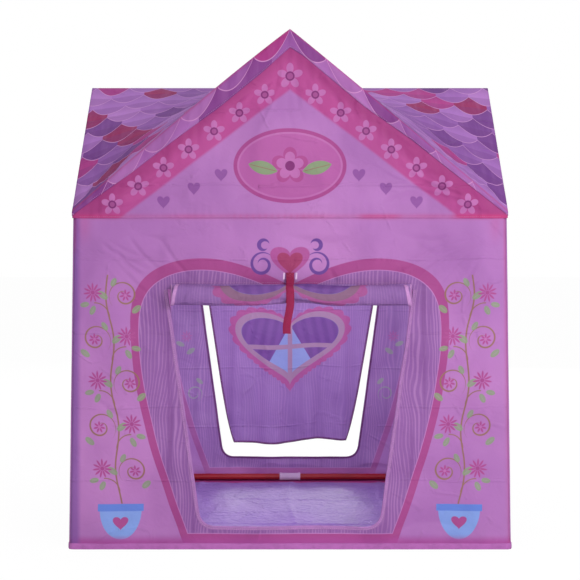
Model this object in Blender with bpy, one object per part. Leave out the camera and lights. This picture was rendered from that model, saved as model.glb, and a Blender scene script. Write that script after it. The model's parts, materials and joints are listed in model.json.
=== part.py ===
"""A kids play tent in the shape of a small cottage: push-fit plastic tubes under a sewn cloth cover.

Metres, +Z up. The front faces -Y, and the origin is on the ground in the middle of the whole tent.
"""

import math

import bmesh
import bpy
from mathutils import Vector

# The cover, measured outside
BASE_WIDTH = 0.950
EAVE_WIDTH = 0.932
RIDGE_LENGTH = 0.961
DEPTH = 0.720
EAVE_HEIGHT = 0.709
CORNER_RISE = 0.015  # roof corner above the eave seam
RIDGE_RISE = 0.319  # side-to-side ridge above the eave seam
PEAK_RISE = 0.405  # front and rear peaks above the eave seam
CLOTH = 0.0012
GAP = 0.0003  # between pieces that touch

# Slack in the cloth
WALL_FOLD_DEPTH = 0.003
WALL_FOLD_WIDTH = 0.150
TAUT_SHARE = 0.75  # how far the roof cloth spans its valleys instead of lying down in them
CELL = 0.075  # largest side of a wall's mesh cell
FLAP_CELL = 0.0375
ROOF_STEPS = 6  # mesh rows from the ridge to an end
GABLE_ROOF_COLUMNS = 4
WING_ROOF_COLUMNS = 3
VALLEY_GAP = 0.0006  # between the roof cloths along their valley seam, measured across the tent
WING_TIP = 0.003  # width of a wing's roof cloth at an eave corner
GABLE_ROW_SHARES = (0, 0.5, 1)

# Tubes and their moulded connectors
TUBE_RADIUS = 0.0080
TUBE_WALL = 0.0014
PUSH_FIT = 0.0003  # clearance between tube and socket, all round
SOCKET_WALL = 0.0016
SOCKET_DEPTH = 0.026
COLLAR_LIP = 0.0009
COLLAR_LENGTH = 0.005
WEB = 0.004  # wall in the middle of a straight connector
CORNER_ROOT = 0.013  # solid length of an arm before its socket, in a right-angled connector
EAVE_ROOT = 0.028  # the same in an eave connector, whose arms lie closer together
HUB_BULGE = 0.0005
OVERRUN = 0.002
SIDES = 10

# The doorways: leaning sides, rounded at the foot
HEADER = 0.153  # wall above both doorways
FRONT_SILL = 0.049
FRONT_HALF_TOP = 0.270
FRONT_HALF_FOOT = 0.193
REAR_SILL = 0.064
REAR_HALF_TOP = 0.250
REAR_HALF_FOOT = 0.182
DOOR_CORNER = 0.032
DOOR_CORNER_STEPS = 5

# The rear door cloth, let down in its doorway
FLAP_HALF_TOP = 0.245
FLAP_HALF_FOOT = 0.154
FLAP_GAP = 0.037  # between its lower edge and the sill
FLAP_SWING_GAP = 0.0008
FLAP_FOLD_DEPTH = 0.012
FLAP_FOLD_WIDTH = 0.095
FLAP_HEM_WAVE = 0.005

# The front door cloth, rolled up above its doorway
SEAM_ABOVE_DOOR = 0.023
ROLL_HALF_LENGTH = 0.268
ROLL_RADIUS = 0.0233
ROLL_PITCH = 0.0070
ROLL_PLY = 0.0024  # several layers of cloth
ROLL_TURNS = 2.5
ROLL_STEPS_PER_TURN = 12
ROLL_FLATTENING_SHARE = 0.75
ROLL_CENTRE_DROP = 0.0335  # below the seam that the roll hangs from
ROLL_TOP_TURN_SHARE = 0.75  # from behind the roll, under it and up its front to its top
ROLL_NUDGE = 0.01  # radians, either side of a point where the spiral's direction is found
PINCH_SHARE = 0.16  # how much the strap draws the roll in
PINCH_WIDTH = 0.060
ROLL_STATION_SHARES = (0.13, 0.30, 0.55, 1.0)

# The strap that ties the roll up
STRAP_WIDTH = 0.015
STRAP = 0.0012
TAIL_LENGTH = 0.088
TAIL_RISE = 0.004  # top of the hanging end above the roll's middle

# Worked out from these
COLLAR_RADIUS = TUBE_RADIUS + PUSH_FIT + SOCKET_WALL + COLLAR_LIP
SOCKET_RADIUS = TUBE_RADIUS + PUSH_FIT + SOCKET_WALL
BORE_RADIUS = TUBE_RADIUS + PUSH_FIT
INSET = CLOTH + GAP + COLLAR_RADIUS  # tube axes inside the outer face of the cover
CORNER_HEIGHT = EAVE_HEIGHT + CORNER_RISE
RIDGE_HEIGHT = EAVE_HEIGHT + RIDGE_RISE
PEAK_HEIGHT = EAVE_HEIGHT + PEAK_RISE
DOOR_TOP = EAVE_HEIGHT - HEADER
ROLL_PROUD = GAP + ROLL_PLY + ROLL_FLATTENING_SHARE * (2 * ROLL_RADIUS - ROLL_PITCH / 2)
FRONT = (ROLL_PROUD - DEPTH) / 2
MIDDLE = FRONT + DEPTH / 2
REAR = FRONT + DEPTH
LEFT_RIGHT = (("left", -1), ("right", 1))
FRONT_REAR = (("front", -1), ("rear", 1))


def mix(start, end, share):
    return start + (end - start) * share


def surface(name, colour, roughness):
    made = bpy.data.materials.new(name)
    made.use_nodes = True
    shader = made.node_tree.nodes["Principled BSDF"]
    shader.inputs["Base Color"].default_value = (*colour, 1.0)
    shader.inputs["Roughness"].default_value = roughness
    shader.inputs["Metallic"].default_value = 0.0
    made.diffuse_color = (*colour, 1.0)
    return made


def add_object(name, mesh, finish, location=(0, 0, 0), direction=None, smooth=True):
    made = bpy.data.objects.new(name, mesh)
    made.location = location
    if direction is not None:
        made.rotation_mode = "QUATERNION"
        made.rotation_quaternion = direction.to_track_quat("Z", "Y")
    if finish is not None:
        mesh.materials.append(finish)
    if smooth:
        mesh.shade_smooth()
        mesh.set_sharp_from_angle(angle=math.radians(40))
    bpy.context.scene.collection.objects.link(made)
    return made


def mesh_from(name, build):
    """The mesh that build(bm) fills in."""
    bm = bmesh.new()
    build(bm)
    mesh = bpy.data.meshes.new(name)
    bm.to_mesh(mesh)
    bm.free()
    return mesh


def turned(name, profile):
    """A mesh turned about Z from (radius, height) points. One that begins and ends on the axis is solid."""

    def build(bm):
        rings = []
        for radius, height in profile:
            count = SIDES if radius > 0 else 1
            angles = [2 * math.pi * i / count for i in range(count)]
            rings.append(
                [bm.verts.new((radius * math.cos(a), radius * math.sin(a), height)) for a in angles]
            )
        pairs = list(zip(rings, rings[1:]))
        if profile[0][0] > 0:
            pairs.append((rings[-1], rings[0]))
        for lower, upper in pairs:
            for i in range(SIDES):
                j = (i + 1) % SIDES
                corners = [lower[i % len(lower)], lower[j % len(lower)]]
                corners += [upper[j % len(upper)], upper[i % len(upper)]]
                bm.faces.new(list(dict.fromkeys(corners)))
        bmesh.ops.recalc_face_normals(bm, faces=bm.faces)

    return mesh_from(name, build)


def prism(name, outline, axis, start, end):
    """A closed outline of two coordinates, extruded along X or Y from start to end."""

    def build(bm):
        def point(pair, along):
            return (along, *pair) if axis == "X" else (pair[0], along, pair[1])

        near = [bm.verts.new(point(pair, start)) for pair in outline]
        far = [bm.verts.new(point(pair, end)) for pair in outline]
        bm.faces.new(near)
        bm.faces.new(far)
        for i in range(len(outline)):
            j = (i + 1) % len(outline)
            bm.faces.new((near[i], near[j], far[j], far[i]))
        bmesh.ops.recalc_face_normals(bm, faces=bm.faces)

    return mesh_from(name, build)


def combine(target, mesh, operation, location=(0, 0, 0), direction=None, solver="EXACT"):
    """Adds or cuts away a mesh with a Boolean."""
    helper = add_object(mesh.name, mesh, None, location, direction, smooth=False)
    helper.hide_render = True
    helper.display_type = "WIRE"
    boolean = target.modifiers.new(mesh.name, "BOOLEAN")
    boolean.operation = operation
    boolean.object = helper
    boolean.solver = solver


def sheet(name, rows, outward, finish, location=(0, 0, 0)):
    """A cloth panel from rows of points on its outer face; its thickness lies on the inner side."""

    def build(bm):
        grid = [[bm.verts.new(point) for point in row] for row in rows]
        for lower, upper in zip(grid, grid[1:]):
            for i in range(len(lower) - 1):
                bm.faces.new((lower[i], lower[i + 1], upper[i + 1], upper[i]))
        face_out(bm, outward)

    return thickened(add_object(name, mesh_from(name, build), finish, location))


def face_out(bm, outward):
    bm.normal_update()
    if sum(face.normal.dot(outward) * face.calc_area() for face in bm.faces) < 0:
        bmesh.ops.reverse_faces(bm, faces=bm.faces)


def thickened(cloth):
    solidify = cloth.modifiers.new("Cloth", "SOLIDIFY")
    solidify.thickness = CLOTH
    solidify.offset = -1
    solidify.use_even_offset = True
    return cloth


def steps(count):
    """Even steps from 0 to 1."""
    return [i / count for i in range(count + 1)]


def shares(length, cell=CELL):
    """Even steps from 0 to 1, none longer than a cell."""
    return steps(max(4, math.ceil(length / cell)))


# Frame: where the tubes' axes meet


def frame_points():
    gable_slope = (PEAK_HEIGHT - CORNER_HEIGHT) / (EAVE_WIDTH / 2)
    main_slope = (RIDGE_HEIGHT - CORNER_HEIGHT) / (DEPTH / 2)
    side_lean = (RIDGE_LENGTH - EAVE_WIDTH) / 2 / RIDGE_RISE
    base_z = CLOTH + GAP + COLLAR_RADIUS
    eave_x = EAVE_WIDTH / 2 - INSET
    under_gable = PEAK_HEIGHT - gable_slope * eave_x - INSET * math.hypot(1, gable_slope)
    under_main = CORNER_HEIGHT + main_slope * INSET - INSET * math.hypot(1, main_slope)
    eave_z = min(under_gable, under_main)
    ridge_drop = INSET * math.hypot(1, main_slope)
    ridge_z = RIDGE_HEIGHT - ridge_drop
    ridge_x = RIDGE_LENGTH / 2 - side_lean * ridge_drop - INSET * math.hypot(1, side_lean)
    peak_z = PEAK_HEIGHT - INSET * math.hypot(1, gable_slope)
    points = {}
    for end, y_side in FRONT_REAR:
        y = MIDDLE + y_side * (DEPTH / 2 - INSET)
        points["peak", end] = Vector((0, y, peak_z))
        for side, x_side in LEFT_RIGHT:
            points["base", end, side] = Vector((x_side * (BASE_WIDTH / 2 - INSET), y, base_z))
            points["eave", end, side] = Vector((x_side * eave_x, y, eave_z))
    for side, x_side in LEFT_RIGHT:
        points["ridge", side] = Vector((x_side * ridge_x, MIDDLE, ridge_z))
    return points


def tube(name, start, end, start_root, end_root):
    """A tube between two frame points, its ends bottomed in the sockets there."""
    along = (end - start).normalized()
    first = start + along * (start_root + GAP)
    length = (end - start).length - start_root - end_root - 2 * GAP
    inner = TUBE_RADIUS - TUBE_WALL
    profile = [(TUBE_RADIUS, 0), (TUBE_RADIUS, length), (inner, length), (inner, 0)]
    add_object(name, turned(name, profile), TUBE_RED, first, along)


def split_rail(name, start, end, root):
    """A long rail in two halves, joined end to end by a straight connector."""
    middle = (start + end) / 2
    tube(f"{name}_left", start, middle, root, WEB / 2)
    tube(f"{name}_right", end, middle, root, WEB / 2)
    mouth = WEB / 2 + SOCKET_DEPTH
    half = [
        (0, WEB / 2),
        (BORE_RADIUS, WEB / 2),
        (BORE_RADIUS, mouth),
        (COLLAR_RADIUS, mouth),
        (COLLAR_RADIUS, mouth - COLLAR_LENGTH),
        (SOCKET_RADIUS, mouth - COLLAR_LENGTH - COLLAR_LIP),
    ]
    profile = half + [(radius, -height) for radius, height in reversed(half)]
    joined = f"{name}_connector"
    add_object(joined, turned(joined, profile), CONNECTOR_WHITE, middle, end - start)


def star_connector(name, hub, targets, root):
    """A moulded connector: one socket arm towards each target, joined round a ball."""
    ball_radius = SOCKET_RADIUS + HUB_BULGE
    ball = [
        (ball_radius * math.sin(math.pi * turn), -ball_radius * math.cos(math.pi * turn))
        for turn in steps(SIDES // 2)
    ]
    ball[0] = (0, -ball_radius)
    ball[-1] = (0, ball_radius)
    mouth = root + SOCKET_DEPTH
    arm = [
        (0, 0),
        (SOCKET_RADIUS, 0),
        (SOCKET_RADIUS, mouth - COLLAR_LENGTH - COLLAR_LIP),
        (COLLAR_RADIUS, mouth - COLLAR_LENGTH),
        (COLLAR_RADIUS, mouth),
        (0, mouth),
    ]
    bore = [(0, root), (BORE_RADIUS, root), (BORE_RADIUS, mouth + OVERRUN), (0, mouth + OVERRUN)]
    made = add_object(name, turned(name, ball), CONNECTOR_WHITE, hub)
    for profile, operation in ((arm, "UNION"), (bore, "DIFFERENCE")):
        for i, target in enumerate(targets):
            helper = turned(f"{name}_{operation.lower()}_{i + 1}", profile)
            combine(made, helper, operation, hub, target - hub, "MANIFOLD")


def build_frame():
    at = frame_points()
    for end, _ in FRONT_REAR:
        for level, root in (("base", CORNER_ROOT), ("eave", EAVE_ROOT)):
            split_rail(f"{end}_{level}_rail", at[level, end, "left"], at[level, end, "right"], root)
        sides = [at["eave", end, side] for side, _ in LEFT_RIGHT]
        other = at["peak", "rear" if end == "front" else "front"]
        star_connector(f"{end}_peak_connector", at["peak", end], [*sides, other], CORNER_ROOT)
    for side, _ in LEFT_RIGHT:
        for level, root in (("base", CORNER_ROOT), ("eave", EAVE_ROOT)):
            ends = at[level, "front", side], at[level, "rear", side]
            tube(f"{side}_{level}_rail", *ends, root, root)
        for end, _ in FRONT_REAR:
            build_corner(at, end, side)
        meets = [at["eave", end, side] for end, _ in FRONT_REAR]
        other = at["ridge", "right" if side == "left" else "left"]
        star_connector(f"{side}_ridge_connector", at["ridge", side], [*meets, other], CORNER_ROOT)
    split_rail("ridge_rail", at["ridge", "left"], at["ridge", "right"], CORNER_ROOT)
    tube("peak_rail", at["peak", "front"], at["peak", "rear"], CORNER_ROOT, CORNER_ROOT)


def build_corner(at, end, side):
    """The post, the two rafters and the two connectors of one corner."""
    base, eave = at["base", end, side], at["eave", end, side]
    across, along = ("right" if side == "left" else "left"), ("rear" if end == "front" else "front")
    peak, ridge = at["peak", end], at["ridge", side]
    tube(f"{end}_{side}_post", base, eave, CORNER_ROOT, EAVE_ROOT)
    tube(f"{end}_{side}_gable_rafter", eave, peak, EAVE_ROOT, CORNER_ROOT)
    tube(f"{end}_{side}_ridge_rafter", eave, ridge, EAVE_ROOT, CORNER_ROOT)
    base_arms = [at["base", end, across], at["base", along, side], eave]
    star_connector(f"{end}_{side}_base_connector", base, base_arms, CORNER_ROOT)
    eave_arms = [at["eave", end, across], at["eave", along, side], base, peak, ridge]
    star_connector(f"{end}_{side}_eave_connector", eave, eave_arms, EAVE_ROOT)


# Cloth cover


def wall_half_width(z):
    return mix(BASE_WIDTH, EAVE_WIDTH, z / EAVE_HEIGHT) / 2


def wall_fold(across, length, z):
    """How far slack cloth falls inwards: nothing at the tubes round its edge, most in the middle."""
    free = math.sin(math.pi * across) * math.sin(math.pi * z / EAVE_HEIGHT)
    return WALL_FOLD_DEPTH * free * (1 + math.cos(2 * math.pi * length * across / WALL_FOLD_WIDTH)) / 2


def end_wall(name, y, y_side, cut):
    """The front or rear wall, with its doorway cut through it."""
    rows = []
    for up in shares(EAVE_HEIGHT):
        z = up * EAVE_HEIGHT
        half = wall_half_width(z)
        rows.append(
            [
                (mix(-half, half, across), y - y_side * wall_fold(across, BASE_WIDTH, z), z)
                for across in shares(BASE_WIDTH)
            ]
        )
    wall = sheet(name, rows, Vector((0, y_side, 0)), WALL_LILAC)
    reach = CLOTH + WALL_FOLD_DEPTH + OVERRUN
    combine(wall, prism(f"{name}_doorway", cut, "Y", y - reach, y + reach), "DIFFERENCE")


def doorway(half_top, half_foot, sill):
    """The outline of a doorway, as (x, z): leaning sides and two rounded lower corners."""
    lean = (half_top - half_foot) / (DOOR_TOP - sill)
    begins = (half_foot + lean * DOOR_CORNER, sill + DOOR_CORNER)
    ends = (half_foot - DOOR_CORNER, sill)
    corner = []
    for t in steps(DOOR_CORNER_STEPS):
        weights = ((1 - t) ** 2, 2 * t * (1 - t), t**2)
        points = (begins, (half_foot, sill), ends)
        corner.append(tuple(sum(w * p[k] for w, p in zip(weights, points)) for k in range(2)))
    right = [(half_top, DOOR_TOP), *corner]
    return right + [(-x, z) for x, z in reversed(right)]


def side_wall(name, x_side):
    """A closed side wall, held between the front and rear walls."""
    start, end = FRONT + CLOTH + GAP, REAR - CLOTH - GAP
    rows = []
    for up in shares(EAVE_HEIGHT):
        z = up * EAVE_HEIGHT
        rows.append(
            [
                (x_side * (wall_half_width(z) - wall_fold(across, DEPTH, z)), mix(start, end, across), z)
                for across in shares(DEPTH)
            ]
        )
    sheet(name, rows, Vector((x_side, 0, 0)), WALL_LILAC)


def gable_panel(name, rise, run, reach_share, outer_point, outward):
    """The panel between the eave and the underside of the roof cloth, run metres from its middle to a corner."""
    foot = EAVE_HEIGHT + GAP
    drop = GAP + CLOTH * math.hypot(1, (rise - CORNER_RISE) / run)
    half = [reach_share * share for share in shares(run)]
    columns = [-share for share in reversed(half[1:])] + half
    rows = []
    for up in GABLE_ROW_SHARES:
        row = []
        for share in columns:
            top = EAVE_HEIGHT + mix(rise, CORNER_RISE, abs(share)) - drop
            row.append(outer_point(share, mix(foot, top, up)))
        rows.append(row)
    sheet(name, rows, outward, WALL_LILAC)


def roof_half_width(depth_share):
    return mix(RIDGE_LENGTH, EAVE_WIDTH, depth_share) / 2


def roof_point(u, v):
    """The outer face of the roof. u runs from the middle to a side, v from the ridge to an end.

    No tube lies under a valley, so the cloth is held along its edges alone and spans much of the valley.
    """
    over_door = mix(PEAK_HEIGHT, CORNER_HEIGHT, u)
    over_side = mix(RIDGE_HEIGHT, CORNER_HEIGHT, v)
    above_ridge = mix(PEAK_HEIGHT, RIDGE_HEIGHT, u) - max(over_door, RIDGE_HEIGHT)
    spanned = mix(PEAK_HEIGHT, over_side, u) - (1 - v) * above_ridge
    z = mix(max(over_door, over_side), spanned, TAUT_SHARE)
    return Vector((u * roof_half_width(v), -v * DEPTH / 2, z))


def valley_share(v):
    """Where the valley seam lies between the middle and a side."""
    return mix((PEAK_RISE - RIDGE_RISE) / (PEAK_RISE - CORNER_RISE), 1, v)


def roof_cloth(name, rows, both_sides):
    """A roof cloth from its points in front of the ridge, mirrored behind it and, if asked, to the other side."""

    def build(bm):
        grid = [[bm.verts.new(point) for point in row] for row in rows]
        for inner, outer in zip(grid, grid[1:]):
            for i in range(len(inner) - 1):
                bm.faces.new((inner[i], inner[i + 1], outer[i + 1]))
                bm.faces.new((inner[i], outer[i + 1], outer[i]))
        bmesh.ops.recalc_face_normals(bm, faces=bm.faces)
        face_out(bm, Vector((0, 0, 1)))

    roof = add_object(name, mesh_from(name, build), ROOF_PURPLE, (0, MIDDLE, 0))
    mirror = roof.modifiers.new("Other half", "MIRROR")
    mirror.use_axis = (both_sides, True, False)
    mirror.merge_threshold = 0.0001
    thickened(roof)


def build_roof():
    """The front-to-back roof, and a wing's roof on each side of it, sewn to it along the valleys."""
    rows = [
        [roof_point(share * valley_share(v), v) for share in steps(GABLE_ROOF_COLUMNS)]
        for v in steps(ROOF_STEPS)
    ]
    roof_cloth("gable_roof", rows, True)
    gap_share = VALLEY_GAP / roof_half_width(0)
    tip_share = WING_TIP / roof_half_width(1)
    last = 1 - (gap_share + tip_share) / (1 - valley_share(0))
    for side, x_side in LEFT_RIGHT:
        rows = []
        for v in (last * step for step in steps(ROOF_STEPS)):
            inner = valley_share(v) + gap_share
            row = [roof_point(mix(inner, 1, share), v) for share in steps(WING_ROOF_COLUMNS)]
            rows.append([Vector((x_side * point.x, point.y, point.z)) for point in row])
        roof_cloth(f"{side}_wing_roof", rows, False)


def build_cover():
    end_wall("front_wall", FRONT, -1, doorway(FRONT_HALF_TOP, FRONT_HALF_FOOT, FRONT_SILL))
    end_wall("rear_wall", REAR, 1, doorway(REAR_HALF_TOP, REAR_HALF_FOOT, REAR_SILL))
    between_ends = 1 - (CLOTH + GAP) / (DEPTH / 2)
    lean = (RIDGE_LENGTH - EAVE_WIDTH) / 2 / RIDGE_RISE
    for side, x_side in LEFT_RIGHT:
        side_wall(f"{side}_wall", x_side)

        def side_point(share, z, x_side=x_side):
            x = EAVE_WIDTH / 2 + lean * (z - EAVE_HEIGHT)
            return (x_side * x, MIDDLE + share * DEPTH / 2, z)

        outward = Vector((x_side, 0, 0))
        gable_panel(f"{side}_gable", RIDGE_RISE, DEPTH / 2, between_ends, side_point, outward)
    for end, y_side in FRONT_REAR:

        def end_point(share, z, y_side=y_side):
            return (share * EAVE_WIDTH / 2, MIDDLE + y_side * DEPTH / 2, z)

        outward = Vector((0, y_side, 0))
        gable_panel(f"{end}_gable", PEAK_RISE, EAVE_WIDTH / 2, 1, end_point, outward)
    build_roof()
    half = BASE_WIDTH / 2 - CLOTH - 2 * GAP
    start, end = FRONT + CLOTH + GAP, REAR - CLOTH - GAP
    rows = [[(-half, y, 0), (half, y, 0)] for y in (start, end)]
    sheet("floor_sheet", rows, Vector((0, 0, -1)), FLOOR_LILAC)


# Door cloths and strap


def pivot(name, y, z):
    made = bpy.data.objects.new(name, None)
    made.location = (0, y, z)
    bpy.context.scene.collection.objects.link(made)
    return made


def hang(piece, joint):
    """Parents a piece to the empty on its hinge line, and leaves it where it is."""
    piece.parent = joint
    piece.location -= joint.location


def build_rear_flap():
    """The rear door cloth hangs from the top of its doorway, in folds that deepen towards its lower edge."""
    top = DOOR_TOP - FLAP_SWING_GAP
    foot = REAR_SILL + FLAP_GAP
    rows = []
    for down in shares(top - foot):
        half = mix(FLAP_HALF_TOP, FLAP_HALF_FOOT, down)
        row = []
        for across in shares(2 * FLAP_HALF_TOP, FLAP_CELL):
            x = mix(-half, half, across)
            turn = 2 * math.pi * x / FLAP_FOLD_WIDTH
            fold = FLAP_FOLD_DEPTH * down * (1 - math.cos(turn)) / 2
            row.append((x, REAR - fold, mix(top, foot, down) + down * FLAP_HEM_WAVE * math.sin(turn / 2)))
        rows.append(row)
    flap = sheet("rear_door_flap", rows, Vector((0, 1, 0)), DOOR_PURPLE)
    hang(flap, pivot("rear_door_hinge", REAR - CLOTH / 2, top))


def pinched(x):
    return 1 - PINCH_SHARE * math.exp(-((x / PINCH_WIDTH) ** 2))


def roll_path(scale, offset, first, last):
    """Points (y, z) of the roll's spiral, from one angle to another, moved out by an offset.

    The angle is 0 behind the roll, a quarter turn under it and a half turn in front of it.
    """
    back = FRONT - GAP - ROLL_PLY / 2
    top_radius = ROLL_RADIUS - ROLL_PITCH * ROLL_TOP_TURN_SHARE
    centre_z = DOOR_TOP + SEAM_ABOVE_DOOR - ROLL_CENTRE_DROP + (1 - scale) * top_radius

    def bare(angle):
        radius = ROLL_RADIUS - ROLL_PITCH * angle / (2 * math.pi)
        y = back - ROLL_FLATTENING_SHARE * scale * (ROLL_RADIUS - radius * math.cos(angle))
        return Vector((y, centre_z - scale * radius * math.sin(angle)))

    count = round(ROLL_STEPS_PER_TURN * abs(last - first) / (2 * math.pi))
    points = []
    for i in range(count + 1):
        angle = mix(first, last, i / count)
        along = (bare(angle + ROLL_NUDGE) - bare(angle - ROLL_NUDGE)).normalized()
        outwards = Vector((-along.y, along.x))
        points.append(bare(angle) + outwards * offset)
    return points


def build_front_roll():
    """The front door cloth, rolled up from below and drawn in by the strap."""
    seam = DOOR_TOP + SEAM_ABOVE_DOOR
    back = FRONT - GAP - ROLL_PLY / 2
    turns = 2 * math.pi * ROLL_TURNS
    half = ROLL_PLY / 2
    stations = [x * ROLL_HALF_LENGTH for x in ROLL_STATION_SHARES]
    stations = sorted({-x for x in stations} | set(stations) | {-STRAP_WIDTH / 2, STRAP_WIDTH / 2})

    def build(bm):
        rings = []
        for x in stations:
            scale = pinched(x)
            outer = [Vector((back + half, seam)), *roll_path(scale, half, 0, turns)]
            inner = [Vector((back - half, seam)), *roll_path(scale, -half, 0, turns)]
            loop = outer + inner[::-1]
            rings.append([bm.verts.new((x, y, z)) for y, z in loop])
        bm.faces.new(rings[0])
        bm.faces.new(rings[-1])
        for near, far in zip(rings, rings[1:]):
            for i in range(len(near)):
                j = (i + 1) % len(near)
                bm.faces.new((near[i], near[j], far[j], far[i]))
        bmesh.ops.recalc_face_normals(bm, faces=bm.faces)

    joint = pivot("front_door_hinge", back, seam)
    hang(add_object("front_door_roll", mesh_from("front_door_roll", build), DOOR_PURPLE), joint)
    scale = pinched(STRAP_WIDTH / 2)
    inside = half + GAP
    last = 2 * math.pi * ROLL_TOP_TURN_SHARE
    loops = []
    for offset in (inside, inside + STRAP):
        loops.append([*roll_path(scale, offset, 0, last), Vector((back - offset, seam))])
    outline = [tuple(point) for point in loops[1] + loops[0][::-1]]
    strap = prism("tie_strap", outline, "X", -STRAP_WIDTH / 2, STRAP_WIDTH / 2)
    hang(add_object("tie_strap", strap, STRAP_RED), joint)
    build_tail(min(point.x for point in loops[1]), roll_path(scale, 0, 0, last)[0].y)


def build_tail(strap_front, roll_middle):
    """The strap's free end, which hangs in front of the roll."""
    near = strap_front - GAP
    top = roll_middle + TAIL_RISE
    outline = [(near, top), (near - STRAP, top)]
    outline += [(near - STRAP, top - TAIL_LENGTH), (near, top - TAIL_LENGTH)]
    mesh = prism("tie_strap_tail", outline, "X", -STRAP_WIDTH / 2, STRAP_WIDTH / 2)
    hang(add_object("tie_strap_tail", mesh, STRAP_RED), pivot("tail_hinge", near - STRAP / 2, top))


for item in list(bpy.data.objects):
    bpy.data.objects.remove(item)

TUBE_RED = surface("tube_red", (0.42, 0.02, 0.05), 0.35)
CONNECTOR_WHITE = surface("connector_white", (0.75, 0.70, 0.76), 0.4)
WALL_LILAC = surface("wall_lilac", (0.46, 0.18, 0.49), 0.75)
ROOF_PURPLE = surface("roof_purple", (0.33, 0.10, 0.37), 0.75)
FLOOR_LILAC = surface("floor_lilac", (0.40, 0.26, 0.60), 0.7)
DOOR_PURPLE = surface("door_purple", (0.27, 0.13, 0.37), 0.75)
STRAP_RED = surface("strap_red", (0.35, 0.02, 0.09), 0.7)

build_frame()
build_cover()
build_rear_flap()
build_front_roll()
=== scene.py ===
"""The looks of a play tent: its printed cloth, tapes, stitching, tubes and floor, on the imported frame.

Metres, +Z up, the front faces -Y. Each cloth carries flat coordinates, on which shader nodes draw its print.
"""

import json
import math
import random
from functools import partial

import bmesh
import bpy
import numpy as np
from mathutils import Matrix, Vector

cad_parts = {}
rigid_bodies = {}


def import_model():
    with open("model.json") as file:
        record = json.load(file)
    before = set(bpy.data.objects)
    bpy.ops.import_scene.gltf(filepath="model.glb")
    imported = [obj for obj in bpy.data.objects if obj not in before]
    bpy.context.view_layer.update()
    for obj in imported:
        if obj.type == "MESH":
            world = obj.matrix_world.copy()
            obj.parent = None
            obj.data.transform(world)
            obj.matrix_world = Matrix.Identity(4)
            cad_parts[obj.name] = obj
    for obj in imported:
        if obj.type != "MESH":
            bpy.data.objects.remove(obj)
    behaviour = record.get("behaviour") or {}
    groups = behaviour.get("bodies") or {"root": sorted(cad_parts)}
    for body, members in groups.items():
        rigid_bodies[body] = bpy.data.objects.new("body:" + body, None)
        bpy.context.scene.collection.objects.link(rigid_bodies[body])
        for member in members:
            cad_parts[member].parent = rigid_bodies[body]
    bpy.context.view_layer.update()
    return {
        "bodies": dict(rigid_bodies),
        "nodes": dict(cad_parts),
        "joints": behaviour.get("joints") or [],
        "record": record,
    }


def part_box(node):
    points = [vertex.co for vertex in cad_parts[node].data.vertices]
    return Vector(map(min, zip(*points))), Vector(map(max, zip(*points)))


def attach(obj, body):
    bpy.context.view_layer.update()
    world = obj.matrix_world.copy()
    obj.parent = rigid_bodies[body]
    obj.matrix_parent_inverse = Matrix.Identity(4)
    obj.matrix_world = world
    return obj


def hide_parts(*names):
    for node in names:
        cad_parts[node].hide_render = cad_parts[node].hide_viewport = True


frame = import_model()

# Places read from the frame
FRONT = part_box("front_wall")[0].y
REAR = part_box("rear_wall")[1].y
MIDDLE = (FRONT + REAR) / 2
DEPTH = REAR - FRONT
END_PLANES = {-1: FRONT, 1: REAR}
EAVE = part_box("front_wall")[1].z
BASE_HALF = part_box("front_wall")[1].x
EAVE_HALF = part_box("front_gable")[1].x
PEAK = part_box("gable_roof")[1].z
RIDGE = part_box("left_wing_roof")[1].z
RIDGE_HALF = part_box("right_wing_roof")[1].x
DOOR_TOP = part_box("rear_door_flap")[1].z + 0.0008

# Sizes that the solids share
CORNER_RISE = 0.015
CORNER = EAVE + CORNER_RISE
TAUT_SHARE = 0.75
FRONT_SILL = 0.049
FRONT_HALF_TOP = 0.264
FRONT_HALF_FOOT = 0.191
REAR_SILL = 0.064
REAR_HALF_TOP = 0.250
REAR_HALF_FOOT = 0.182
DOOR_CORNER = 0.032

# Cloth
CLOTH = 0.0006
ROLL_CLOTH = 0.0007
CELL = 0.0045  # of the cloths' meshes
SIDE_CELL = 1.4 * CELL
ROLL_CELL = 0.0035
FLAP_CELL = 0.004
FLOOR_CELL = 0.006
FLOOR_INSET = 0.002
VERGE_GAP = 0.0015  # from a gable's upper edge to the roof's outer face
GABLE_INSET = 0.0008  # of the side gables' ends
PROUD = 0.0010  # how far a folded or laid-on piece stands off the cloth under it

# Camera: a level view of the front, its horizon above the picture's middle
VIEW_DISTANCE = 2.63
VIEW_HEIGHT = 0.69
LENS = 76.28
VIEW_SHIFT = -0.1086


def mix(start, end, share):
    return start + (end - start) * share


def smooth(value, low, high):
    """0 below low, 1 above high, and a smooth step between them."""
    t = np.clip((value - low) / (high - low), 0, 1)
    return t * t * (3 - 2 * t)


# Shader arithmetic


class Number:
    """A number that the shader works out at each point. Plain arithmetic on it adds Math nodes."""

    def __init__(self, socket):
        self.socket = socket

    def __add__(self, other):
        return math_node("ADD", self, other)

    __radd__ = __add__

    def __sub__(self, other):
        return math_node("SUBTRACT", self, other)

    def __rsub__(self, other):
        return math_node("SUBTRACT", other, self)

    def __mul__(self, other):
        return math_node("MULTIPLY", self, other)

    __rmul__ = __mul__

    def __truediv__(self, other):
        return math_node("DIVIDE", self, other)

    def __neg__(self):
        return math_node("MULTIPLY", self, -1.0)


def put(target, value):
    """Sets a node's input to a number or colour, or links it to what the shader works out."""
    if isinstance(value, Number):
        value = value.socket
    if isinstance(value, bpy.types.NodeSocket):
        target.id_data.links.new(value, target)
    elif target.type == "RGBA":
        target.default_value = (*value, 1.0)
    else:
        target.default_value = value


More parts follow.
